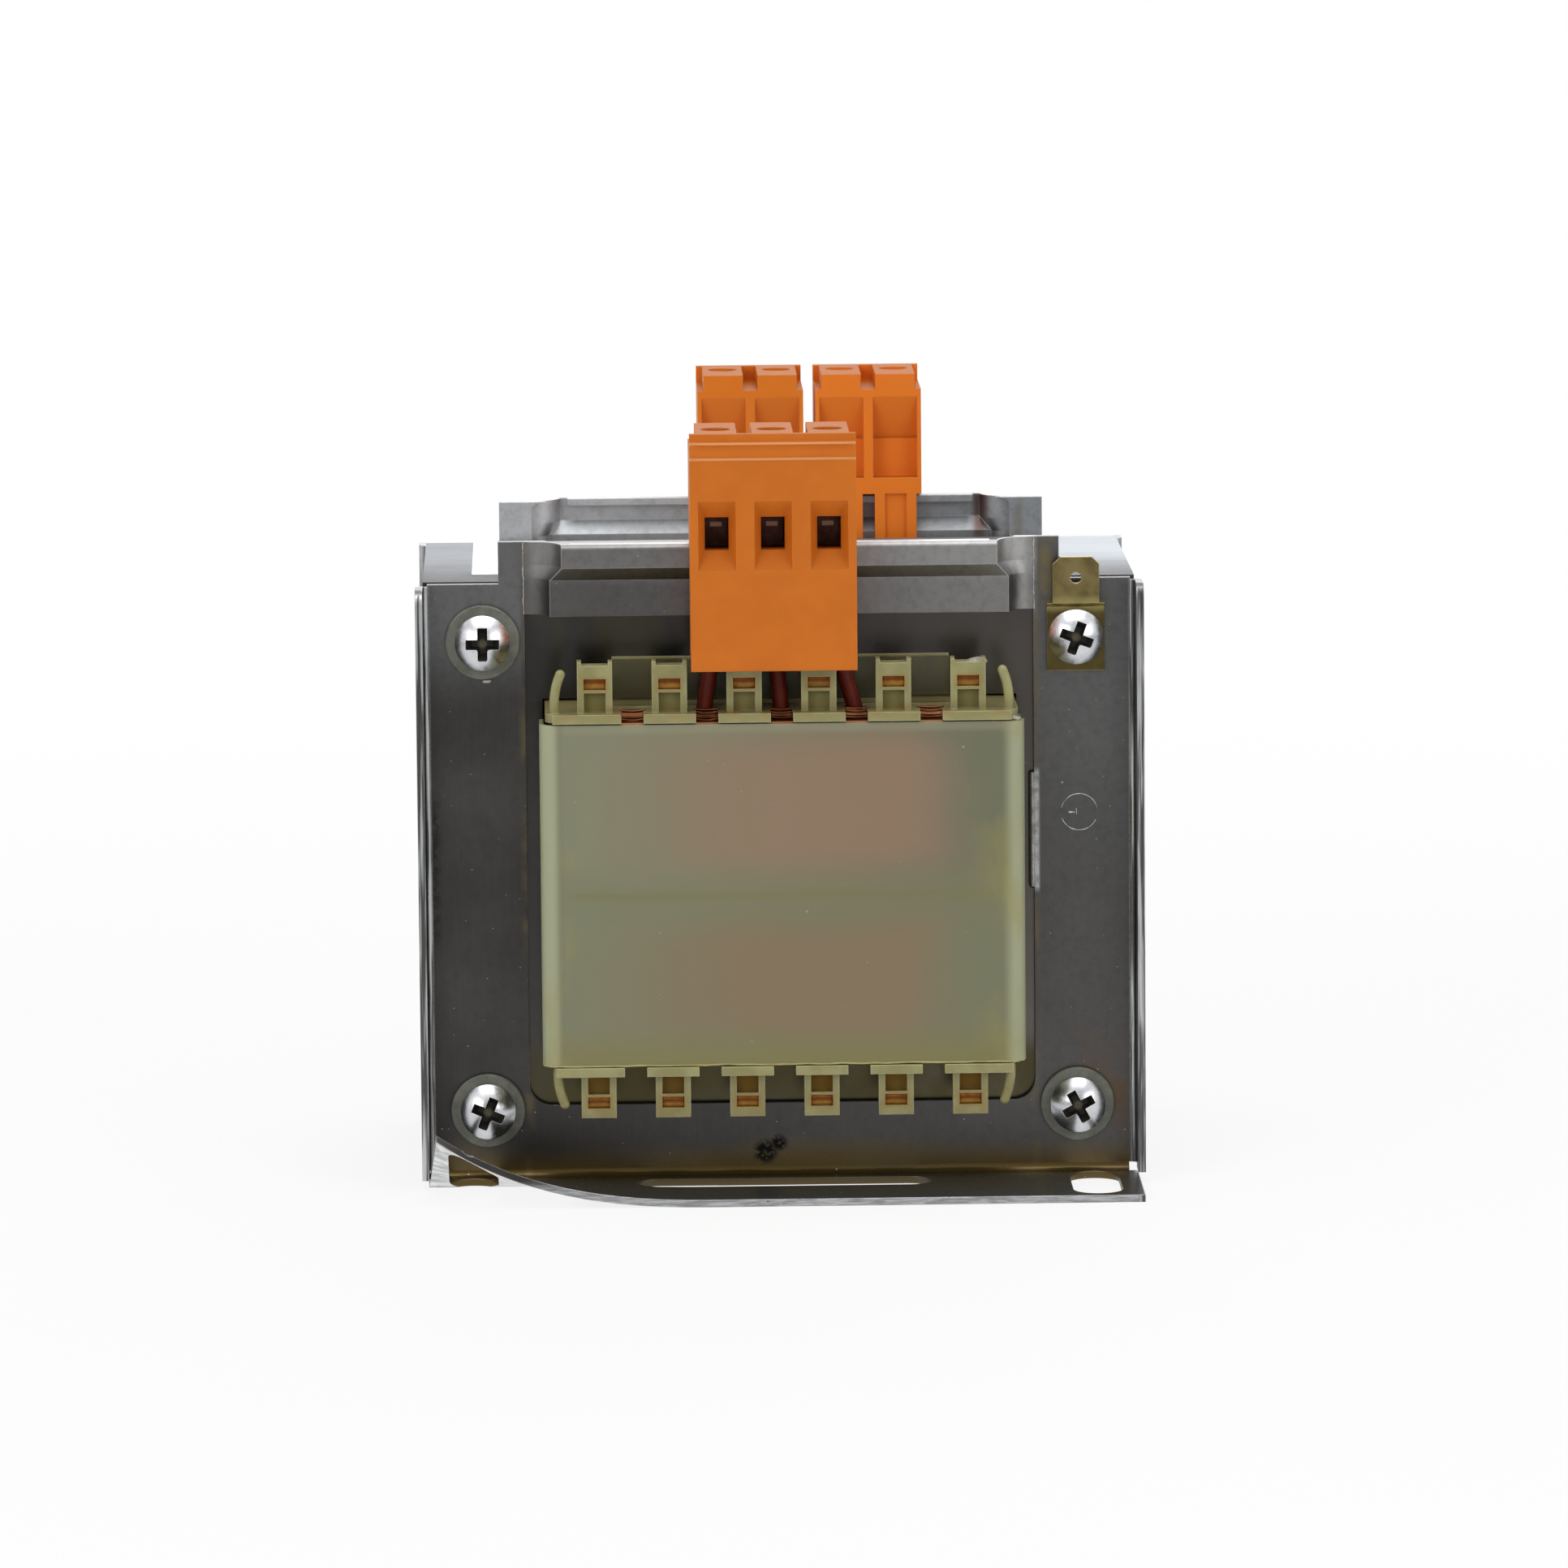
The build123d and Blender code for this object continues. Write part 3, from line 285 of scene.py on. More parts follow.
def sheet_bare_metal(t, at, colour, fine, edge):
    """Cut edges, the burr and the bent corner show bare metal, the corner's underside with a painted
    reflection of the floor. Returns the colour, the burr and the underside.
    """
    x, y, z = t.axes(at)
    face_y, face_z = t.axes(t.normal(), "YZ")
    cut = t.times(t.ramp(t.size(x), *FLANGE_BEND), t.ramp(t.size(face_y), 0.6, 0.8))
    toe = t.ramp(t.size(y), 0.0434, 0.0437)
    under = t.times(t.ramp(face_z, -0.3, -0.6), t.fall(x, -0.030, -0.026), t.fall(z, 0.0125, 0.0135))
    burr = t.times(t.between(x, 0.0336, 0.0350, 0.0002), t.between(z, 0.0396, 0.0560, 0.0006))
    burr = t.times(burr, t.fall(y, -0.0242, -0.0240))

    level_lines = t.noise(t.stretch(at, (0.1, 0.1, 1)), 3500, 3, 0.6)
    upright_lines = t.noise(t.stretch(at, (1, 0.1, 0.02)), 2600, 3, 0.6)
    streaks = t.noise(t.stretch(at, (0.12, 1, 1)), 900, 4, 0.65)
    bare = t.mix(t.ramp(level_lines, 0.35, 0.65), shade(0.30, -0.01), shade(0.55, -0.02))
    cut_colour = t.mix(t.ramp(upright_lines, 0.42, 0.60), shade(0.10, 0.02), shade(0.62, -0.02))
    bare = t.over(bare, cut_colour, cut)
    # Bare metal under the bent corner, painted bright as a reflection of the floor
    bare = t.over(bare, t.mix(t.ramp(streaks, 0.36, 0.62), shade(0.42), shade(0.80, -0.01)), under)
    bare = t.over(bare, t.mix(t.ramp(fine, 0.35, 0.6), shade(0.30), shade(0.62)), burr)
    colour = t.over(colour, bare, t.most(cut, t.times(toe, 0.9), burr, under))
    # Edges painted bright: partly wear, partly painted highlight
    edge_wear_and_highlight = t.times(edge, t.ramp(fine, 0.25, 0.55, 0.35, 1.0), t.ramp(z, 0.0, 0.02, 0.5, 1.0))
    return t.over(colour, shade(0.62, -0.01), edge_wear_and_highlight, 0.75), burr, under


def sheet_marks(t, at, colour):
    """A black smudge, dust and pits. Returns the colour and the mask of the dust."""
    big = t.near(at, (-0.0024, -0.0242, 0.0040), 0.0009, 0.0012)
    small = t.near(at, (-0.0006, -0.0242, 0.0052), 0.0005, 0.0010)
    smudge = t.times(t.most(big, small), t.ramp(t.noise(at, 1400, 3), 0.31, 0.49))
    colour = t.over(colour, shade(0.004), smudge)
    few = t.specks(at, 420, 0.075, 0.06)
    many = t.times(t.specks(at, 1100, 0.14, 0.10), t.ramp(t.axis(at, "Z"), 0.004, 0.030, 1.0, 0.45))
    dust = t.most(few, many)
    colour = t.over(colour, shade(0.50, 0.03), dust, 0.75)
    return t.over(colour, shade(0.02), t.specks(at, 380, 0.06, 0.05), 0.7), dust


def steel_plate():
    t = Tree("steel_plate")
    at = t.where()
    soft, edge = t.rounded(0.00022)
    broad = t.noise(at, 48, 4, 0.6)
    fine = t.noise(at, 900, 4, 0.65)
    colour = sheet_tone_and_painted_light(t, at, broad, fine)
    colour, fold, foot = sheet_varnish(t, at, colour, fine)
    colour, burr, under = sheet_bare_metal(t, at, colour, fine, edge)
    colour, dust = sheet_marks(t, at, colour)

    rough = t.plus(t.ramp(broad, 0.3, 0.7, 0.34, 0.44), t.times(t.most(fold, foot), -0.14))
    rough = t.plus(rough, t.times(t.most(burr, under), -0.12), t.times(rear_bridge(t, at), 0.14))
    metal = t.inverse(t.most(t.times(fold, 0.35), t.times(foot, 0.5), t.times(dust, 0.9)))
    shape = t.bump(broad, 0.12, 0.0006, soft)
    shape = t.bump(fine, 0.10, 0.00006, shape)
    shape = t.bump(t.times(under, t.noise(at, 260, 4, 0.6)), 0.5, 0.0008, shape)
    return t.surface(Base_Color=colour, Metallic=metal, Roughness=rough, Normal=shape)


# Other materials

def laminated_steel():
    """Edges of the stacked sheets on the sides and top, one smooth sheet in the window."""
    t = Tree("laminated_steel")
    at = t.where()
    x, y, z = t.axes(at)
    face = t.ramp(t.size(t.axis(t.normal(), "Y")), 0.5, 0.8)
    stack = t.inverse(face)
    soft, edge = t.rounded(0.00010)
    broad = t.noise(at, 70, 4, 0.6)
    fine = t.noise(at, 1100, 3, 0.6)

    sheets = t.noise(t.stretch(at, (0.02, 1, 0.02)), 1900, 2, 0.5)
    line = t.fall(t.math("PINGPONG", y, 0.00025), 0.0, 0.00007)
    gaps = t.ramp(t.noise(t.stretch(at, (0.015, 1, 0.015)), 420, 3, 0.6), 0.60, 0.66)
    side = t.mix(t.ramp(sheets, 0.35, 0.7), shade(0.115), shade(0.185, -0.01))
    side = t.over(side, shade(0.075), t.fall(x, -0.046, -0.010), 0.45)
    side = t.over(side, shade(0.04, 0.05), line, 0.45)
    side = t.over(side, shade(0.025, 0.05), gaps, 0.55)
    # Painted light on the top of the stack, brighter to the right and towards the rear
    top_painted_light = t.mix(t.ramp(x, -0.030, 0.030), shade(0.36, -0.05), shade(0.56, -0.06))
    side = t.over(side, top_painted_light, t.ramp(z, 0.0812, 0.0820), t.ramp(y, -0.023, 0.006), 0.8)
    brown = t.ramp(t.noise(t.stretch(at, (0.4, 1, 0.15)), 220, 4), 0.58, 0.74)
    side = t.over(side, (0.07, 0.042, 0.020), brown, t.ramp(z, 0.075, 0.082, 0.55, 0.12))

    front = t.mix(t.ramp(broad, 0.35, 0.7), shade(0.058, 0.05), shade(0.082, 0.07))
    front = t.over(front, shade(0.115, 0.09), t.ramp(x, 0.0, 0.030))
    front = t.over(front, (0.068, 0.058, 0.026), t.fall(z, 0.016, 0.021), t.ramp(broad, 0.3, 0.6, 0.5, 1.0))
    # Painted reflection of the posts in the upper part of the window
    painted_post_reflection = t.ramp(t.noise(t.stretch(at, (1, 1, 0.12)), 150, 3, 0.5), 0.48, 0.62)
    front = t.over(front, (0.100, 0.088, 0.045), painted_post_reflection, t.ramp(z, 0.064, 0.068), 0.45)
    front = t.over(front, shade(0.03), edge, 0.6)
    front = t.over(front, shade(0.4), t.specks(at, 900, 0.10, 0.05), 0.6)

    colour = t.mix(face, side, front)
    pits = t.most(t.specks(at, 600, 0.11, 0.05), t.specks(at, 1500, 0.16, 0.05))
    colour = t.over(colour, shade(0.02), pits, stack, 0.7)
    rough = t.plus(t.times(face, -0.22), t.ramp(broad, 0.3, 0.7, 0.40, 0.50))
    shape = t.bump(broad, 0.06, 0.0005, soft)
    shape = t.bump(t.times(t.most(line, gaps), stack), -0.35, 0.00006, shape)
    shape = t.bump(fine, 0.06, 0.00005, shape)
    return t.surface(
        Base_Color=colour, Metallic=0.9, Roughness=rough, Normal=shape, Specular_Tint=(0.55, 0.55, 0.56)
    )


def milky_plastic():
    t = Tree("milky_plastic")
    at = t.where()
    x, y, z = t.axes(at)
    reach = t.size(y)
    from_post = off_post(t, x)
    soft, edge = t.rounded(0.00022)
    cloud = t.noise(at, 260, 3, 0.6)
    colour = t.mix(t.ramp(cloud, 0.35, 0.68), (0.262, 0.243, 0.100), (0.335, 0.315, 0.146))
    # Painted highlight on the edges
    colour = t.over(colour, (0.62, 0.60, 0.40), edge, 0.85)

    # The pockets of the posts are darker, the lower ones olive brown
    pocket = t.times(t.fall(from_post, 0.00142, 0.00152), t.between(reach, 0.0342, 0.0352, 0.0002))
    upper = t.times(pocket, t.between(z, 0.0660, 0.0687, 0.0001))
    lower = t.times(pocket, t.between(z, 0.0141, 0.0168, 0.0001))
    colour = t.over(colour, (0.205, 0.175, 0.060), upper, 0.6)
    colour = t.over(colour, (0.200, 0.098, 0.006), lower, 0.9)

    # Varnish stains: below, at the roots of the posts and round the eyes
    low = t.times(t.fall(z, 0.0120, 0.0185), t.ramp(t.noise(at, 330, 4, 0.6), 0.35, 0.62, 0.15, 1.0))
    colour = t.over(colour, (0.24, 0.17, 0.050), low, 0.45)
    root = t.times(t.between(z, 0.0652, 0.0668, 0.0008), t.ramp(cloud, 0.40, 0.60))
    colour = t.over(colour, (0.26, 0.18, 0.055), root, 0.60)
    eye = t.times(t.fall(from_post, 0.0014, 0.0022), t.ramp(reach, 0.0325, 0.0335))
    eyes = t.most(t.between(z, 0.0687, 0.0707, 0.0004), t.between(z, 0.0120, 0.0141, 0.0004))
    colour = t.over(colour, (0.30, 0.17, 0.035), eye, eyes, 0.55)

    # The thin barrier behind the posts is almost clear
    barrier = t.times(t.between(reach, 0.0290, 0.0299, 0.0001), t.ramp(z, 0.0660, 0.0662))
    clear = t.times(barrier, t.plus(0.86, t.times(t.ramp(z, 0.0722, 0.0725), -0.45)))
    return t.surface(
        Base_Color=colour, Roughness=0.30, Normal=t.bump(cloud, 0.10, 0.0003, soft), Alpha=t.inverse(clear),
        Subsurface_Weight=0.30, Subsurface_Scale=0.0012, Subsurface_Radius=(1.0, 0.8, 0.4),
        Specular_IOR_Level=t.ramp(pocket, 0.0, 1.0, 0.40, 0.04),
    )


def cover_film():
    t = Tree("cover_film")
    at = t.where()
    x, z = t.axes(at, "XZ")
    out_x = t.size(x)
    soft, edge = t.rounded(0.0003)
    to_right = t.ramp(x, -0.030, 0.032)
    colour = t.mix(to_right, (0.215, 0.222, 0.138), (0.150, 0.153, 0.092))
    lower_green = t.mix(to_right, (0.196, 0.206, 0.124), (0.172, 0.176, 0.100))
    colour = t.over(colour, lower_green, t.fall(z, 0.036, 0.048))

    # The copper of both chambers shines through
    wobble = t.times(t.plus(t.noise(at, 38, 3), -0.5), 0.012)
    glow_x, glow_z = t.plus(x, wobble), t.plus(z, t.times(wobble, 0.5))
    from_left = t.ramp(glow_x, -0.034, 0.000)
    upper = t.times(from_left, t.fall(glow_x, 0.0150, 0.0270))
    upper = t.times(upper, t.ramp(glow_z, 0.0395, 0.0490), t.fall(glow_z, 0.0590, 0.0670))
    lower = t.times(from_left, t.fall(glow_x, 0.0140, 0.0270))
    lower = t.times(lower, t.ramp(glow_z, 0.0170, 0.0260), t.fall(glow_z, 0.0330, 0.0430))
    colour = t.over(colour, t.mix(to_right, (0.262, 0.190, 0.117), (0.262, 0.172, 0.108)), upper)
    colour = t.over(colour, (0.238, 0.160, 0.090), lower, 0.85)

    # The flange between the chambers, and bands along the edges
    line_z = t.plus(z, t.times(t.noise(t.stretch(at, (1, 0, 0)), 60, 2), 0.0012))
    line = t.times(t.between(line_z, 0.0414, 0.0423, 0.0005), t.between(x, -0.028, 0.0295, 0.003))
    colour = t.over(colour, (0.175, 0.150, 0.040), line, 0.55)
    colour = t.over(colour, (0.190, 0.185, 0.095), t.between(z, 0.0385, 0.0445, 0.0025), 0.35)
    colour = t.over(colour, (0.215, 0.184, 0.052), t.fall(z, 0.0183, 0.0245), 0.70)
    # Painted highlights along the top band and the rounded side rims
    colour = t.over(colour, (0.30, 0.29, 0.19), t.between(z, 0.0634, 0.0650, 0.0005), 0.45)
    colour = t.over(colour, (0.380, 0.400, 0.250), t.ramp(out_x, 0.0292, 0.0312), 0.8)
    colour = t.over(colour, (0.15, 0.15, 0.085), t.between(x, -0.0302, -0.0294, 0.0003), 0.35)
    # Painted highlight on the edges
    colour = t.over(colour, (0.36, 0.37, 0.24), edge, 0.6)

    # Yellow runs towards the sides, and dust
    runs = t.ramp(t.noise(t.stretch(at, (1, 1, 0.5)), 110, 4, 0.6), 0.48, 0.66)
    colour = t.over(colour, (0.300, 0.262, 0.080), runs, t.ramp(out_x, 0.0230, 0.0310), 0.45)
    dust = t.most(t.specks(at, 330, 0.07, 0.06), t.specks(at, 900, 0.10, 0.05))
    colour = t.over(colour, (0.5, 0.5, 0.4), dust, 0.45)
    return t.surface(
        Base_Color=colour, Roughness=0.36, Normal=t.bump(t.noise(at, 45, 3), 0.10, 0.0012, soft),
        Subsurface_Weight=0.10, Subsurface_Scale=0.001, Subsurface_Radius=(1.0, 0.9, 0.5),
        Specular_IOR_Level=0.45,
    )


def orange_plastic():
    t = Tree("orange_plastic")
    at = t.where()
    x, y, z = t.axes(at)
    upward = t.ramp(t.axis(t.normal(), "Z"), 0.4, 0.9)
    soft, edge = t.rounded(0.00020)
    cloud = t.noise(at, 130, 3, 0.6)
    fine = t.noise(at, 3800, 2, 0.5)
    colour = t.mix(t.ramp(cloud, 0.3, 0.7), (0.560, 0.142, 0.010), (0.600, 0.158, 0.012))
    # Painted light: the rear is painted lighter against its shade, the right half most
    rear = t.mix(t.ramp(x, 0.004, 0.006), (0.700, 0.180, 0.013), (0.800, 0.200, 0.016))
    colour = t.over(colour, rear, t.ramp(y, -0.005, 0.015))
    # Painted shade: faces turned up are painted darker and less glossy against the top light
    colour = t.over(colour, (0.470, 0.125, 0.008), upward)
    # Painted highlights on the edges and on the two ridges
    colour = t.over(colour, (0.80, 0.36, 0.12), edge, 0.35)
    ridges = t.most(t.near_level(z, RIDGE_TOP * MM), t.near_level(z, (RIDGE_TOP - RIDGE_STEP) * MM))
    colour = t.over(colour, (0.78, 0.36, 0.14), ridges, t.fall(y, -0.0300, -0.0290), 0.8)
    colour = t.over(colour, (0.22, 0.07, 0.02), t.fall(z, 0.0716, 0.0722), 0.35)
    colour = t.over(colour, (0.30, 0.10, 0.03), t.specks(at, 700, 0.08, 0.03), 0.5)
    return t.surface(
        Base_Color=colour, Roughness=0.46, Normal=t.bump(fine, 0.08, 0.00003, soft),
        Subsurface_Weight=0.15, Subsurface_Scale=0.0010, Subsurface_Radius=(1.0, 0.35, 0.1),
        Specular_IOR_Level=t.plus(0.22, t.times(upward, -0.20)),
    )


def bright_zinc():
    t = Tree("bright_zinc")
    at = t.where()
    x, y, z = t.axes(at)
    soft, edge = t.rounded(0.00018)
    cloud = t.noise(at, 700, 3, 0.6)
    stain = t.noise(at, 300, 3, 0.5)
    colour = t.mix(t.ramp(cloud, 0.3, 0.7), (0.56, 0.57, 0.60), (0.68, 0.69, 0.71))
    colour = t.over(colour, (0.34, 0.31, 0.22), t.ramp(stain, 0.56, 0.80, 0.0, 0.30))

    # The cross recess is painted dark, lighter olive in the middle
    up = t.plus(z, -MIDDLE_Z)
    from_x = t.math("SUBTRACT", x, t.times(t.math("SIGN", x), BOLT_X))
    from_z = t.math("SUBTRACT", up, t.times(t.math("SIGN", up), BOLT_Z))
    radius = t.math("SQRT", t.plus(t.times(from_x, from_x), t.times(from_z, from_z)))
    recess = t.times(t.fall(radius, 0.00225, 0.00245), t.between(y, -0.02742, -0.0250, 0.00003))
    centre = t.fall(radius, 0.0003, 0.0008)
    colour = t.over(colour, t.over((0.016, 0.013, 0.008), (0.170, 0.145, 0.075), centre, 0.7), recess)
    outside = t.inverse(recess)
    # Painted highlight on the edges outside the recess
    colour = t.over(colour, (0.95, 0.95, 0.95), edge, outside, 0.9)

    # The head reads as a dome: its normal leans out with the distance from the middle
    lean = t.add("ShaderNodeCombineXYZ", {"X": from_x, "Y": -0.0042, "Z": from_z}).outputs[0]
    dome = t.add("ShaderNodeVectorMath", {0: lean}, operation="NORMALIZE").outputs[0]
    crown = t.times(t.ramp(y, -0.0250, -0.0255), outside)
    shape = t.bump(stain, 0.05, 0.0002, t.blend(crown, soft, dome))
    rough = t.plus(t.ramp(cloud, 0.3, 0.7, 0.22, 0.30), t.times(recess, 0.35))
    metal = t.inverse(t.times(recess, 0.9))
    return t.surface(Base_Color=colour, Metallic=metal, Roughness=rough, Normal=shape)


def copper_wire():
    t = Tree("copper_wire")
    at = t.where()
    wavy_z = t.plus(t.axis(at, "Z"), t.times(t.noise(at, 40, 2), 0.0006))
    groove = t.ramp(t.math("PINGPONG", wavy_z, 0.0005), 0.0, 0.0005)
    colour = t.mix(t.ramp(t.noise(at, 300, 3), 0.3, 0.7), (0.235, 0.080, 0.030), (0.335, 0.132, 0.053))
    # Painted shade in the grooves between the turns
    colour = t.over(colour, (0.06, 0.02, 0.01), t.ramp(groove, 0.0, 0.35, 0.7, 0.0))
    return t.surface(Base_Color=colour, Metallic=0.85, Roughness=0.34, Normal=t.bump(groove, 0.8, 0.0003))


def rolled_brass():
    t = Tree("rolled_brass")
    at = t.where()
    z = t.axis(at, "Z")
    soft, edge = t.rounded(0.00020)
    cloud = t.noise(at, 330, 4, 0.6)
    grain = t.noise(t.stretch(at, (1, 1, 0.05)), 3000, 2)
    colour = t.mix(t.ramp(cloud, 0.35, 0.68), (0.205, 0.158, 0.060), (0.305, 0.240, 0.100))
    colour = t.over(colour, (0.080, 0.062, 0.016), t.ramp(z, 0.0765, 0.0805, 0.75, 0.0))
    colour = t.over(colour, (0.50, 0.42, 0.16), t.between(z, 0.0778, 0.0796, 0.0006), 0.7)
    # Painted highlight on the edges
    colour = t.over(colour, (0.70, 0.62, 0.38), edge, 0.7)
    rough = t.ramp(cloud, 0.3, 0.7, 0.24, 0.36)
    shape = t.bump(grain, 0.12, 0.00004, soft)
    return t.surface(Base_Color=colour, Metallic=0.92, Roughness=rough, Normal=shape)


def tarnished_brass():
    """Contact bars, with a painted glint on the front ones."""
    t = Tree("tarnished_brass")
    at = t.where()
    y, z = t.axes(at, "YZ")
    share = t.axis(t.add("ShaderNodeTexCoord").outputs["Generated"], "X")
    soft, edge = t.rounded(0.00012)
    cloud = t.noise(at, 900, 3, 0.6)
    colour = t.mix(t.ramp(cloud, 0.3, 0.7), (0.060, 0.020, 0.012), (0.105, 0.040, 0.026))
    # Painted highlight on the edges
    colour = t.over(colour, (0.45, 0.28, 0.19), edge, 0.8)
    # A painted glint across the front bars
    glint = t.times(t.between(z, *GLINT, 0.00012), t.between(share, 0.24, 0.76, 0.03))
    glint = t.times(glint, t.fall(y, *FROM_FRONT))
    colour = t.over(colour, (0.44, 0.25, 0.16), glint, 0.85)
    shape = t.bump(cloud, 0.15, 0.0001, soft)
    return t.surface(Base_Color=colour, Metallic=0.8, Roughness=0.36, Normal=shape)


def passivated_steel():
    t = Tree("passivated_steel")
    at = t.where()
    soft, edge = t.rounded(0.00012)
    cloud = t.noise(at, 900, 3, 0.6)
    colour = t.mix(t.ramp(cloud, 0.3, 0.7), (0.075, 0.030, 0.018), (0.15, 0.065, 0.040))
    # Painted highlight on the edges
    colour = t.over(colour, (0.40, 0.26, 0.18), edge, 0.6)
    shape = t.bump(cloud, 0.15, 0.0001, soft)
    return t.surface(Base_Color=colour, Metallic=0.8, Roughness=0.38, Normal=shape)


def lead_sleeve():
    t = Tree("lead_sleeve")
    at = t.where()
    cloud = t.noise(at, 500, 3, 0.6)
    weave = t.noise(t.stretch(at, (1, 1, 0.5)), 4200, 2)
    colour = t.mix(t.ramp(cloud, 0.3, 0.7), (0.095, 0.008, 0.003), (0.145, 0.014, 0.005))
    shape = t.bump(weave, 0.25, 0.0001)
    return t.surface(Base_Color=colour, Roughness=0.42, Normal=shape, Specular_IOR_Level=0.22)


def washer_plastic():
    t = Tree("washer_plastic")
    at = t.where()
    soft, edge = t.rounded(0.00020)
    cloud = t.noise(at, 420, 3, 0.6)
    colour = t.mix(t.ramp(cloud, 0.35, 0.7), (0.165, 0.170, 0.135), (0.245, 0.250, 0.205))
    # Painted highlight on the edges
    colour = t.over(colour, (0.50, 0.50, 0.44), edge, 0.8)
    shape = t.bump(cloud, 0.08, 0.0002, soft)
    return t.surface(Base_Color=colour, Roughness=0.22, Normal=shape, Transmission_Weight=0.30, IOR=1.45)


def label_film():
    t = Tree("label_film")
    at = t.where()
    cloud = t.noise(at, 160, 3, 0.6)
    lines = t.noise(t.stretch(at, (0.1, 1, 1)), 700, 2)
    colour = t.mix(t.ramp(cloud, 0.3, 0.7), (0.84, 0.84, 0.85), (0.90, 0.90, 0.90))
    colour = t.over(colour, (0.6, 0.6, 0.62), t.ramp(lines, 0.6, 0.7, 0.0, 0.15))
    return t.surface(Base_Color=colour, Roughness=0.35, Normal=t.bump(cloud, 0.05, 0.0003))


def amber_varnish():
    """Varnish in the pin eyes, with a dark line across and a paler middle."""
    t = Tree("amber_varnish")
    at = t.where()
    x, z = t.axes(at, "XZ")
    cloud = t.noise(at, 900, 3, 0.6)
    colour = t.mix(t.ramp(cloud, 0.3, 0.7), (0.22, 0.070, 0.003), (0.40, 0.160, 0.012))
    from_top, from_low = t.size(t.plus(z, -EYE_LINE_TOP)), t.size(t.plus(z, -EYE_LINE_LOW))
    line = t.ramp(t.math("MINIMUM", from_top, from_low), 0.0001, 0.0004, 0.85, 0.0)
    colour = t.over(colour, (0.120, 0.028, 0.003), line)
    upper = t.times(t.fall(z, 0.0692, 0.0698), t.ramp(z, 0.060, 0.061))
    lower = t.times(t.fall(z, 0.0125, 0.0132), 0.6)
    pale = t.times(t.most(upper, lower), t.fall(off_post(t, x), 0.0006, 0.0014))
    colour = t.over(colour, (0.40, 0.30, 0.08), pale, 0.5)
    shape = t.bump(cloud, 0.2, 0.0002)
    return t.surface(Base_Color=colour, Roughness=0.24, Normal=shape, Specular_IOR_Level=0.15)


def yellow_varnish():
    t = Tree("yellow_varnish")
    cloud = t.noise(t.where(), 300, 3, 0.6)
    colour = t.mix(t.ramp(cloud, 0.3, 0.7), (0.36, 0.29, 0.085), (0.54, 0.47, 0.20))
    return t.surface(
        Base_Color=colour, Roughness=0.18, Normal=t.bump(cloud, 0.2, 0.0002),
        Coat_Weight=0.4, Coat_Roughness=0.08, Subsurface_Weight=0.2, Subsurface_Scale=0.0008,
    )


def clear_blob():
    t = Tree("clear_blob")
    cloud = t.noise(t.where(), 700, 3, 0.6)
    colour = t.mix(t.ramp(cloud, 0.3, 0.7), (0.34, 0.33, 0.22), (0.55, 0.54, 0.42))
    shape = t.bump(cloud, 0.35, 0.0003)
    return t.surface(Base_Color=colour, Roughness=0.12, Normal=shape, Transmission_Weight=0.25, IOR=1.45)


def bare_steel():
    t = Tree("bare_steel")
    cloud = t.noise(t.where(), 1500, 3, 0.6)
    colour = t.mix(t.ramp(cloud, 0.35, 0.65), shade(0.42), shade(0.80))
    return t.surface(Base_Color=colour, Metallic=0.9, Roughness=0.35, Normal=t.bump(cloud, 0.3, 0.0001))


MATERIALS = {
    "sheet_steel": steel_plate(),
    "lamination": laminated_steel(),
    "bobbin_plastic": milky_plastic(),
    "copper": copper_wire(),
    "cover_film": cover_film(),
    "orange_plastic": orange_plastic(),
    "zinc_steel": bright_zinc(),
    "clamp_steel": passivated_steel(),
    "brass": rolled_brass(),
    "lead_sleeve": lead_sleeve(),
    "washer_plastic": washer_plastic(),
    "label_film": label_film(),
}
AMBER = amber_varnish()
YELLOW = yellow_varnish()
BLOB = clear_blob()
BARE = bare_steel()
TARNISHED = tarnished_brass()

# Finish of the carried-over solids
for part in frame["record"]["subparts"]:
    node = frame["nodes"][part["node"]]
    node.data.materials.clear()
    contact = part["node"].startswith("contact_bar")
    node.data.materials.append(TARNISHED if contact else MATERIALS[part["material_slot"]])


# Mesh helpers

def mesh_piece(name, vertices, faces, material, smooth=True):
    """A new piece from vertices in millimetres, riding on the body."""
    data = bpy.data.meshes.new(name)
    data.from_pydata([Vector(v) * MM for v in vertices], [], faces)
    data.materials.append(material)
    for polygon in data.polygons:
        polygon.use_smooth = smooth
    data.validate()
    obj = bpy.data.objects.new(name, data)
    bpy.context.scene.collection.objects.link(obj)
    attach(obj, BODY)


def ring(centre, side, up, width, height, count):
    """Points of an ellipse around a centre."""
    points = []
    for step in range(count):
        angle = 2 * math.pi * step / count
        points.append(centre + side * (width * math.cos(angle)) + up * (height * math.sin(angle)))
    return points


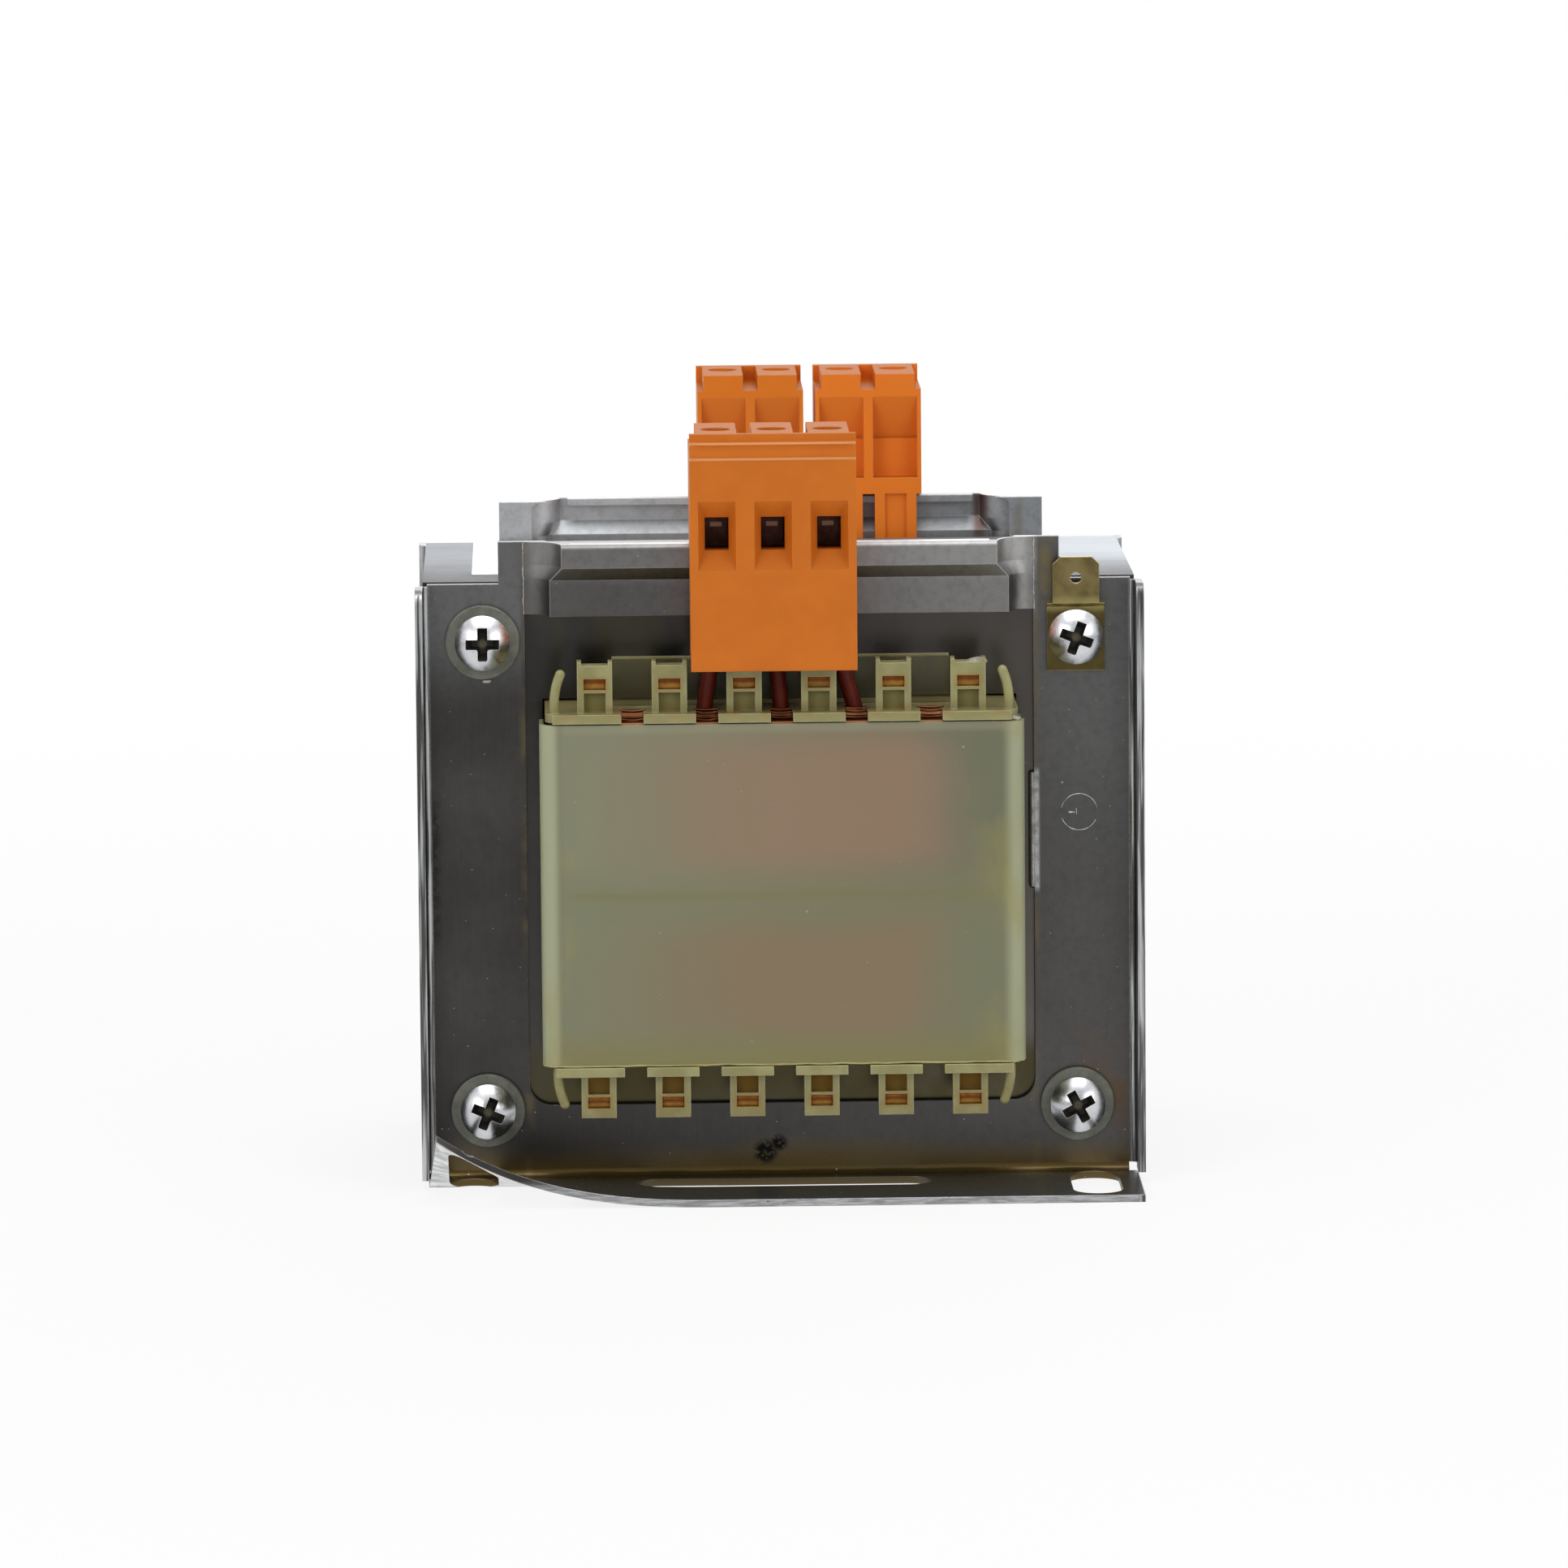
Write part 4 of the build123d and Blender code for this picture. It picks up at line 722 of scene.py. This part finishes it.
def add_tube(vertices, faces, path, radius, count=8, flat=1.0):
    """A closed tube along a path of points, a little thinner at its ends, added to the lists."""
    end_scale, least_turn = 0.6, 0.2
    path = [Vector(p) for p in path]
    start = len(vertices)
    for index, point in enumerate(path):
        ahead = path[min(index + 1, len(path) - 1)] - path[max(index - 1, 0)]
        ahead.normalize()
        side = ahead.cross(Vector((0, 0, 1)))
        if side.length < least_turn:
            side = ahead.cross(Vector((0, 1, 0)))
        side.normalize()
        up = side.cross(ahead)
        scale = end_scale if index in (0, len(path) - 1) else 1.0
        vertices.extend(ring(point, side, up, radius * scale, radius * scale * flat, count))
    rows = len(path)
    for row in range(rows - 1):
        for step in range(count):
            a = start + row * count + step
            b = start + row * count + (step + 1) % count
            faces.append((a, b, b + count, a + count))
    faces.append(tuple(start + step for step in reversed(range(count))))
    faces.append(tuple(start + (rows - 1) * count + step for step in range(count)))


# Fine pieces

def block_ridges():
    """Two fine moulded ridges across the top of the front block's face."""
    block = frame["nodes"]["front_terminal_block"]
    corners = [block.matrix_world @ Vector(corner) / MM for corner in block.bound_box]
    inset, steps, radius = 0.25, 12, 0.16
    left = min(corner.x for corner in corners) + inset
    right = max(corner.x for corner in corners) - inset
    face = min(corner.y for corner in corners)
    vertices, faces = [], []
    for z in (RIDGE_TOP, RIDGE_TOP - RIDGE_STEP):
        path = [(left + (right - left) * step / steps, face, z) for step in range(steps + 1)]
        add_tube(vertices, faces, path, radius, flat=0.9)
    mesh_piece("block_ridges", vertices, faces, MATERIALS["orange_plastic"])


def copper_strands():
    """Wires of the upper winding that cross the gaps between the pads."""
    pad_half, strands, steps, radius = 3.2, 5, 6, 0.16
    lowest, rise, front, recede = 64.95, 0.28, 35.2, 0.25
    vertices, faces = [], []
    for side in (-1, 1):
        for left, right in zip(POST_X[:-1], POST_X[1:]):
            x0, x1 = left + pad_half, right - pad_half
            for strand in range(strands):
                z = lowest + rise * strand + rng.uniform(-0.08, 0.08)
                reach = front - recede * strand + rng.uniform(-0.15, 0.15)
                path = []
                for step in range(steps + 1):
                    share = step / steps
                    sag = math.sin(math.pi * share)
                    path.append((x0 + (x1 - x0) * share, side * (reach - 0.3 * sag), z - 0.22 * sag))
                add_tube(vertices, faces, path, radius)
    mesh_piece("copper_strands", vertices, faces, MATERIALS["copper"])


def eye_pad(vertices, faces, middle, side, low, high, front):
    """A closed pad in one pin eye, hollowed towards its lower middle, added to the lists."""
    half, depth, hollow = 1.46, 2.3, 0.40
    across, rows = 10, 5
    wide = across + 1
    start = len(vertices)
    for row in range(rows + 1):
        v = row / rows
        for column in range(wide):
            u = 2 * column / across - 1
            dip = hollow * (1 - u**4) * (0.35 + 0.65 * (1 - v))
            vertices.append((middle + half * u, side * (front - dip), low + (high - low) * v))
    back = len(vertices)
    for row in range(rows + 1):
        z = low + (high - low) * row / rows
        for column in range(wide):
            u = 2 * column / across - 1
            vertices.append((middle + half * u, side * (POST_FRONT - depth), z))
    quads = []
    for row in range(rows):
        for column in range(across):
            a = start + row * wide + column
            b = back + row * wide + column
            quads.append((a, a + 1, a + 1 + wide, a + wide))
            quads.append((b, b + wide, b + 1 + wide, b + 1))
    rim = [row * wide for row in range(rows + 1)]
    rim += [rows * wide + column for column in range(1, across + 1)]
    rim += [row * wide + across for row in range(rows - 1, -1, -1)]
    rim += list(range(across - 1, 0, -1))
    for here, there in zip(rim, rim[1:] + rim[:1]):
        quads.append((start + here, start + there, back + there, back + here))
    faces.extend(quad if side < 0 else quad[::-1] for quad in quads)


def eye_varnish():
    """Varnish over the wire end in each pin eye, in the upper and the lower row."""
    eye_rows = ((69.02, 70.48), (12.27, 13.73))
    setback = 0.35
    vertices, faces = [], []
    for side in (-1, 1):
        for low, high in eye_rows:
            for middle in POST_X:
                front = POST_FRONT - setback - rng.uniform(0.0, 0.12)
                eye_pad(vertices, faces, middle, side, low, high, front)
    mesh_piece("eye_varnish", vertices, faces, AMBER)


def varnish_beads():
    """The uneven line of varnish along the lower edge of each cover."""
    front, back, half, bend, level = 37.75, 26.0, 32.35, 2.1, 18.35
    steps, radius = 40, 0.19
    corner = [(bend * (1 - math.cos(a)), front - bend + bend * math.sin(a)) for a in (0.5, 1.1)]
    vertices, faces = [], []
    for side in (-1, 1):
        plan = [(-half, back), (-half, front - bend)]
        plan += [(-half + inward, y) for inward, y in corner]
        plan += [(-half + bend + (2 * half - 2 * bend) * step / steps, front) for step in range(steps + 1)]
        plan += [(half - inward, y) for inward, y in reversed(corner)]
        plan += [(half, front - bend), (half, back)]
        path = [(x, side * y, level + rng.uniform(-0.05, 0.07)) for x, y in plan]
        add_tube(vertices, faces, path, radius, flat=0.9)
    mesh_piece("varnish_beads", vertices, faces, YELLOW)


def lump(vertices, faces, centre, size, seed, rows=10, around=16):
    """An uneven rounded lump, added to the lists."""
    local = random.Random(seed)
    wave = [local.uniform(0, 6.28) for _ in range(3)]
    start = len(vertices)
    for row in range(rows + 1):
        polar = math.pi * row / rows
        for step in range(around):
            angle = 2 * math.pi * step / around
            swell = 1 + 0.12 * math.sin(2 * angle + wave[0]) + 0.10 * math.sin(3 * polar + wave[1])
            swell += 0.08 * math.sin(3 * angle + 2 * polar + wave[2])
            vertices.append((
                centre[0] + size[0] * swell * math.sin(polar) * math.cos(angle),
                centre[1] + size[1] * swell * math.sin(polar) * math.sin(angle),
                centre[2] + size[2] * swell * math.cos(polar),
            ))
    for row in range(rows):
        for step in range(around):
            a = start + row * around + step
            b = start + row * around + (step + 1) % around
            faces.append((a, a + around, b + around, b))


def varnish_lumps():
    """Hardened drops: two on the last upper post, one under a washer, one at the cover's corner."""
    drops = (
        ((26.35, -34.9, 72.25), (1.15, 0.9, 0.55), 3),
        ((25.2, -35.2, 72.2), (0.9, 0.7, 0.28), 5),
        ((-39.45, -24.45, 68.85), (0.60, 0.28, 0.20), 8),
        ((31.2, -37.0, 64.75), (0.7, 0.5, 0.35), 11),
    )
    vertices, faces = [], []
    for centre, size, seed in drops:
        lump(vertices, faces, centre, size, seed)
    mesh_piece("varnish_lumps", vertices, faces, BLOB)


def sheared_edges():
    """Bright torn edge beside the bridge, on both sides of both brackets."""
    edge_x, out, low, height = 34.42, 0.02, 77.9, 9.7
    steps, radius = 24, 0.10
    vertices, faces = [], []
    for side in (-1, 1):
        for end in (-1, 1):
            path = []
            for step in range(steps + 1):
                x = end * edge_x + rng.uniform(-0.06, 0.06)
                path.append((x, side * (PLATE_FRONT + out), low + height * step / steps))
            add_tube(vertices, faces, path, radius, 6)
    mesh_piece("sheared_edges", vertices, faces, BARE, smooth=False)


def earth_mark():
    """The stamped earth sign on the right of the plate: a worn circle and a turned sign."""
    x, y, z, radius = 40.40, -(PLATE_FRONT + 0.005), 50.14, 2.48
    arcs = ((10, 168), (200, 335))
    arc_steps, stroke_steps = 26, 4
    arc_width, stroke_width = 0.065, 0.075
    strokes = (
        ((x - 1.55, y, z + 0.02), (x - 0.35, y, z - 0.08)),
        ((x - 0.38, y, z + 0.48), (x - 0.34, y, z - 0.50)),
        ((x - 1.50, y, z - 0.05), (x - 0.95, y, z - 0.10)),
    )
    vertices, faces = [], []
    for first, last in arcs:
        angles = [math.radians(first + (last - first) * step / arc_steps) for step in range(arc_steps + 1)]
        path = [(x + radius * math.cos(angle), y, z + radius * math.sin(angle)) for angle in angles]
        add_tube(vertices, faces, path, arc_width, 6)
    for first, last in strokes:
        path = [Vector(first).lerp(Vector(last), step / stroke_steps) for step in range(stroke_steps + 1)]
        add_tube(vertices, faces, path, stroke_width, 6)
    mesh_piece("earth_mark", vertices, faces, BARE)


block_ridges()
copper_strands()
eye_varnish()
varnish_beads()
varnish_lumps()
sheared_edges()
earth_mark()

# Camera at the photograph's viewing angle, in metres and radians, its lens and sensor in millimetres
CAMERA_PLACE = (-0.030457, -1.411446, 0.249865)
CAMERA_FORWARD = (0.02208526, 0.98997683, -0.13949233)
CAMERA_YAW = 0.0223052
CAMERA_ROLL = -0.008471961
CAMERA_LENS = 238.06
CAMERA_SENSOR = 36.0
CAMERA_CLIP = (0.05, 20.0)


def place_camera():
    data = bpy.data.cameras.new("camera")
    data.lens = CAMERA_LENS
    data.sensor_width = CAMERA_SENSOR
    data.clip_start, data.clip_end = CAMERA_CLIP
    camera = bpy.data.objects.new("camera", data)
    bpy.context.scene.collection.objects.link(camera)
    forward = Vector(CAMERA_FORWARD).normalized()
    level_right = Vector((math.cos(CAMERA_YAW), -math.sin(CAMERA_YAW), 0))
    level_up = level_right.cross(forward)
    right = level_right * math.cos(CAMERA_ROLL) + level_up * math.sin(CAMERA_ROLL)
    up = level_up * math.cos(CAMERA_ROLL) - level_right * math.sin(CAMERA_ROLL)
    turn = Matrix((right, up, -forward)).transposed()
    camera.matrix_world = Matrix.Translation(CAMERA_PLACE) @ turn.to_4x4()
    bpy.context.scene.camera = camera


# Floor and light, in metres and watts
FLOOR_REACH = 9.0
AIM = Vector((0, 0, 0.05))
AMBIENT = 0.46
LAMPS = (
    ("top", (0.0, -0.15, 0.9), 0.8, 3.3),
    ("front_left", (-0.75, -1.0, 0.55), 0.6, 3.8),
    ("front_right", (0.8, -0.9, 0.45), 0.6, 2.5),
    ("back", (0.2, 1.0, 0.6), 0.7, 3.4),
)


def white_floor():
    """A floor that is lit plainly near the part and shows white farther out."""
    t = Tree("floor_white")
    at = t.where()
    paths = t.add("ShaderNodeLightPath").outputs
    seen = t.most(paths["Is Camera Ray"], paths["Is Glossy Ray"], paths["Is Transmission Ray"])
    matt_colour = t.mix(t.noise(at, 9, 2), (0.86, 0.86, 0.86), (0.90, 0.90, 0.90))
    matt = t.add("ShaderNodeBsdfDiffuse", {"Color": matt_colour})

    # The floor in front of the part shows grey in reflections
    only_glossy = t.math("SUBTRACT", paths["Is Glossy Ray"], paths["Is Camera Ray"])
    behind = t.ramp(t.axis(at, "Y"), -0.55, -0.05)
    glow_colour = t.mix(t.times(only_glossy, t.inverse(behind)), WHITE, (0.40, 0.40, 0.41))
    glow = t.add("ShaderNodeEmission", {"Color": glow_colour, "Strength": 1.0})
    distance = t.add("ShaderNodeVectorMath", {0: at}, operation="LENGTH").outputs["Value"]
    share = t.ramp(distance, 0.12, 0.55, 0.84, 1.0)
    shown = t.add("ShaderNodeMixShader", {0: share, 1: matt.outputs[0], 2: glow.outputs[0]})
    t.show(t.add("ShaderNodeMixShader", {0: seen, 1: matt.outputs[0], 2: shown.outputs[0]}))

    data = bpy.data.meshes.new("floor")
    signs = ((-1, -1), (1, -1), (1, 1), (-1, 1))
    data.from_pydata([Vector((x, y, 0)) * FLOOR_REACH for x, y in signs], [], [(0, 1, 2, 3)])
    data.materials.append(t.owner)
    floor = bpy.data.objects.new("floor", data)
    bpy.context.scene.collection.objects.link(floor)


def studio_world():
    """White to the camera, darker in front for reflections, and a soft plain light for the rest."""
    t = Tree("studio", world=True)
    bpy.context.scene.world = t.owner
    paths = t.add("ShaderNodeLightPath").outputs
    direction = t.add("ShaderNodeTexCoord").outputs["Generated"]
    gloss_level = t.ramp(t.axis(direction, "Y"), -0.97, -0.45, 0.42, 1.0)
    ambient = t.add("ShaderNodeBackground", {"Color": WHITE, "Strength": AMBIENT})
    gloss = t.add("ShaderNodeBackground", {"Color": WHITE, "Strength": gloss_level})
    white = t.add("ShaderNodeBackground", {"Color": WHITE, "Strength": 1.0})
    glossy = paths["Is Glossy Ray"]
    shaded = t.add("ShaderNodeMixShader", {0: glossy, 1: ambient.outputs[0], 2: gloss.outputs[0]})
    clear = t.most(paths["Is Camera Ray"], paths["Is Transmission Ray"])
    t.show(t.add("ShaderNodeMixShader", {0: clear, 1: shaded.outputs[0], 2: white.outputs[0]}))


def studio_lamps():
    for name, place, size, power in LAMPS:
        data = bpy.data.lights.new(name, "AREA")
        data.shape = "SQUARE"
        data.size = size
        data.energy = power
        lamp = bpy.data.objects.new(name, data)
        bpy.context.scene.collection.objects.link(lamp)
        lamp.location = place
        lamp.rotation_mode = "QUATERNION"
        lamp.rotation_quaternion = (AIM - Vector(place)).to_track_quat("-Z", "Y")


place_camera()
white_floor()
studio_world()
studio_lamps()
bpy.context.scene.view_settings.view_transform = "Standard"
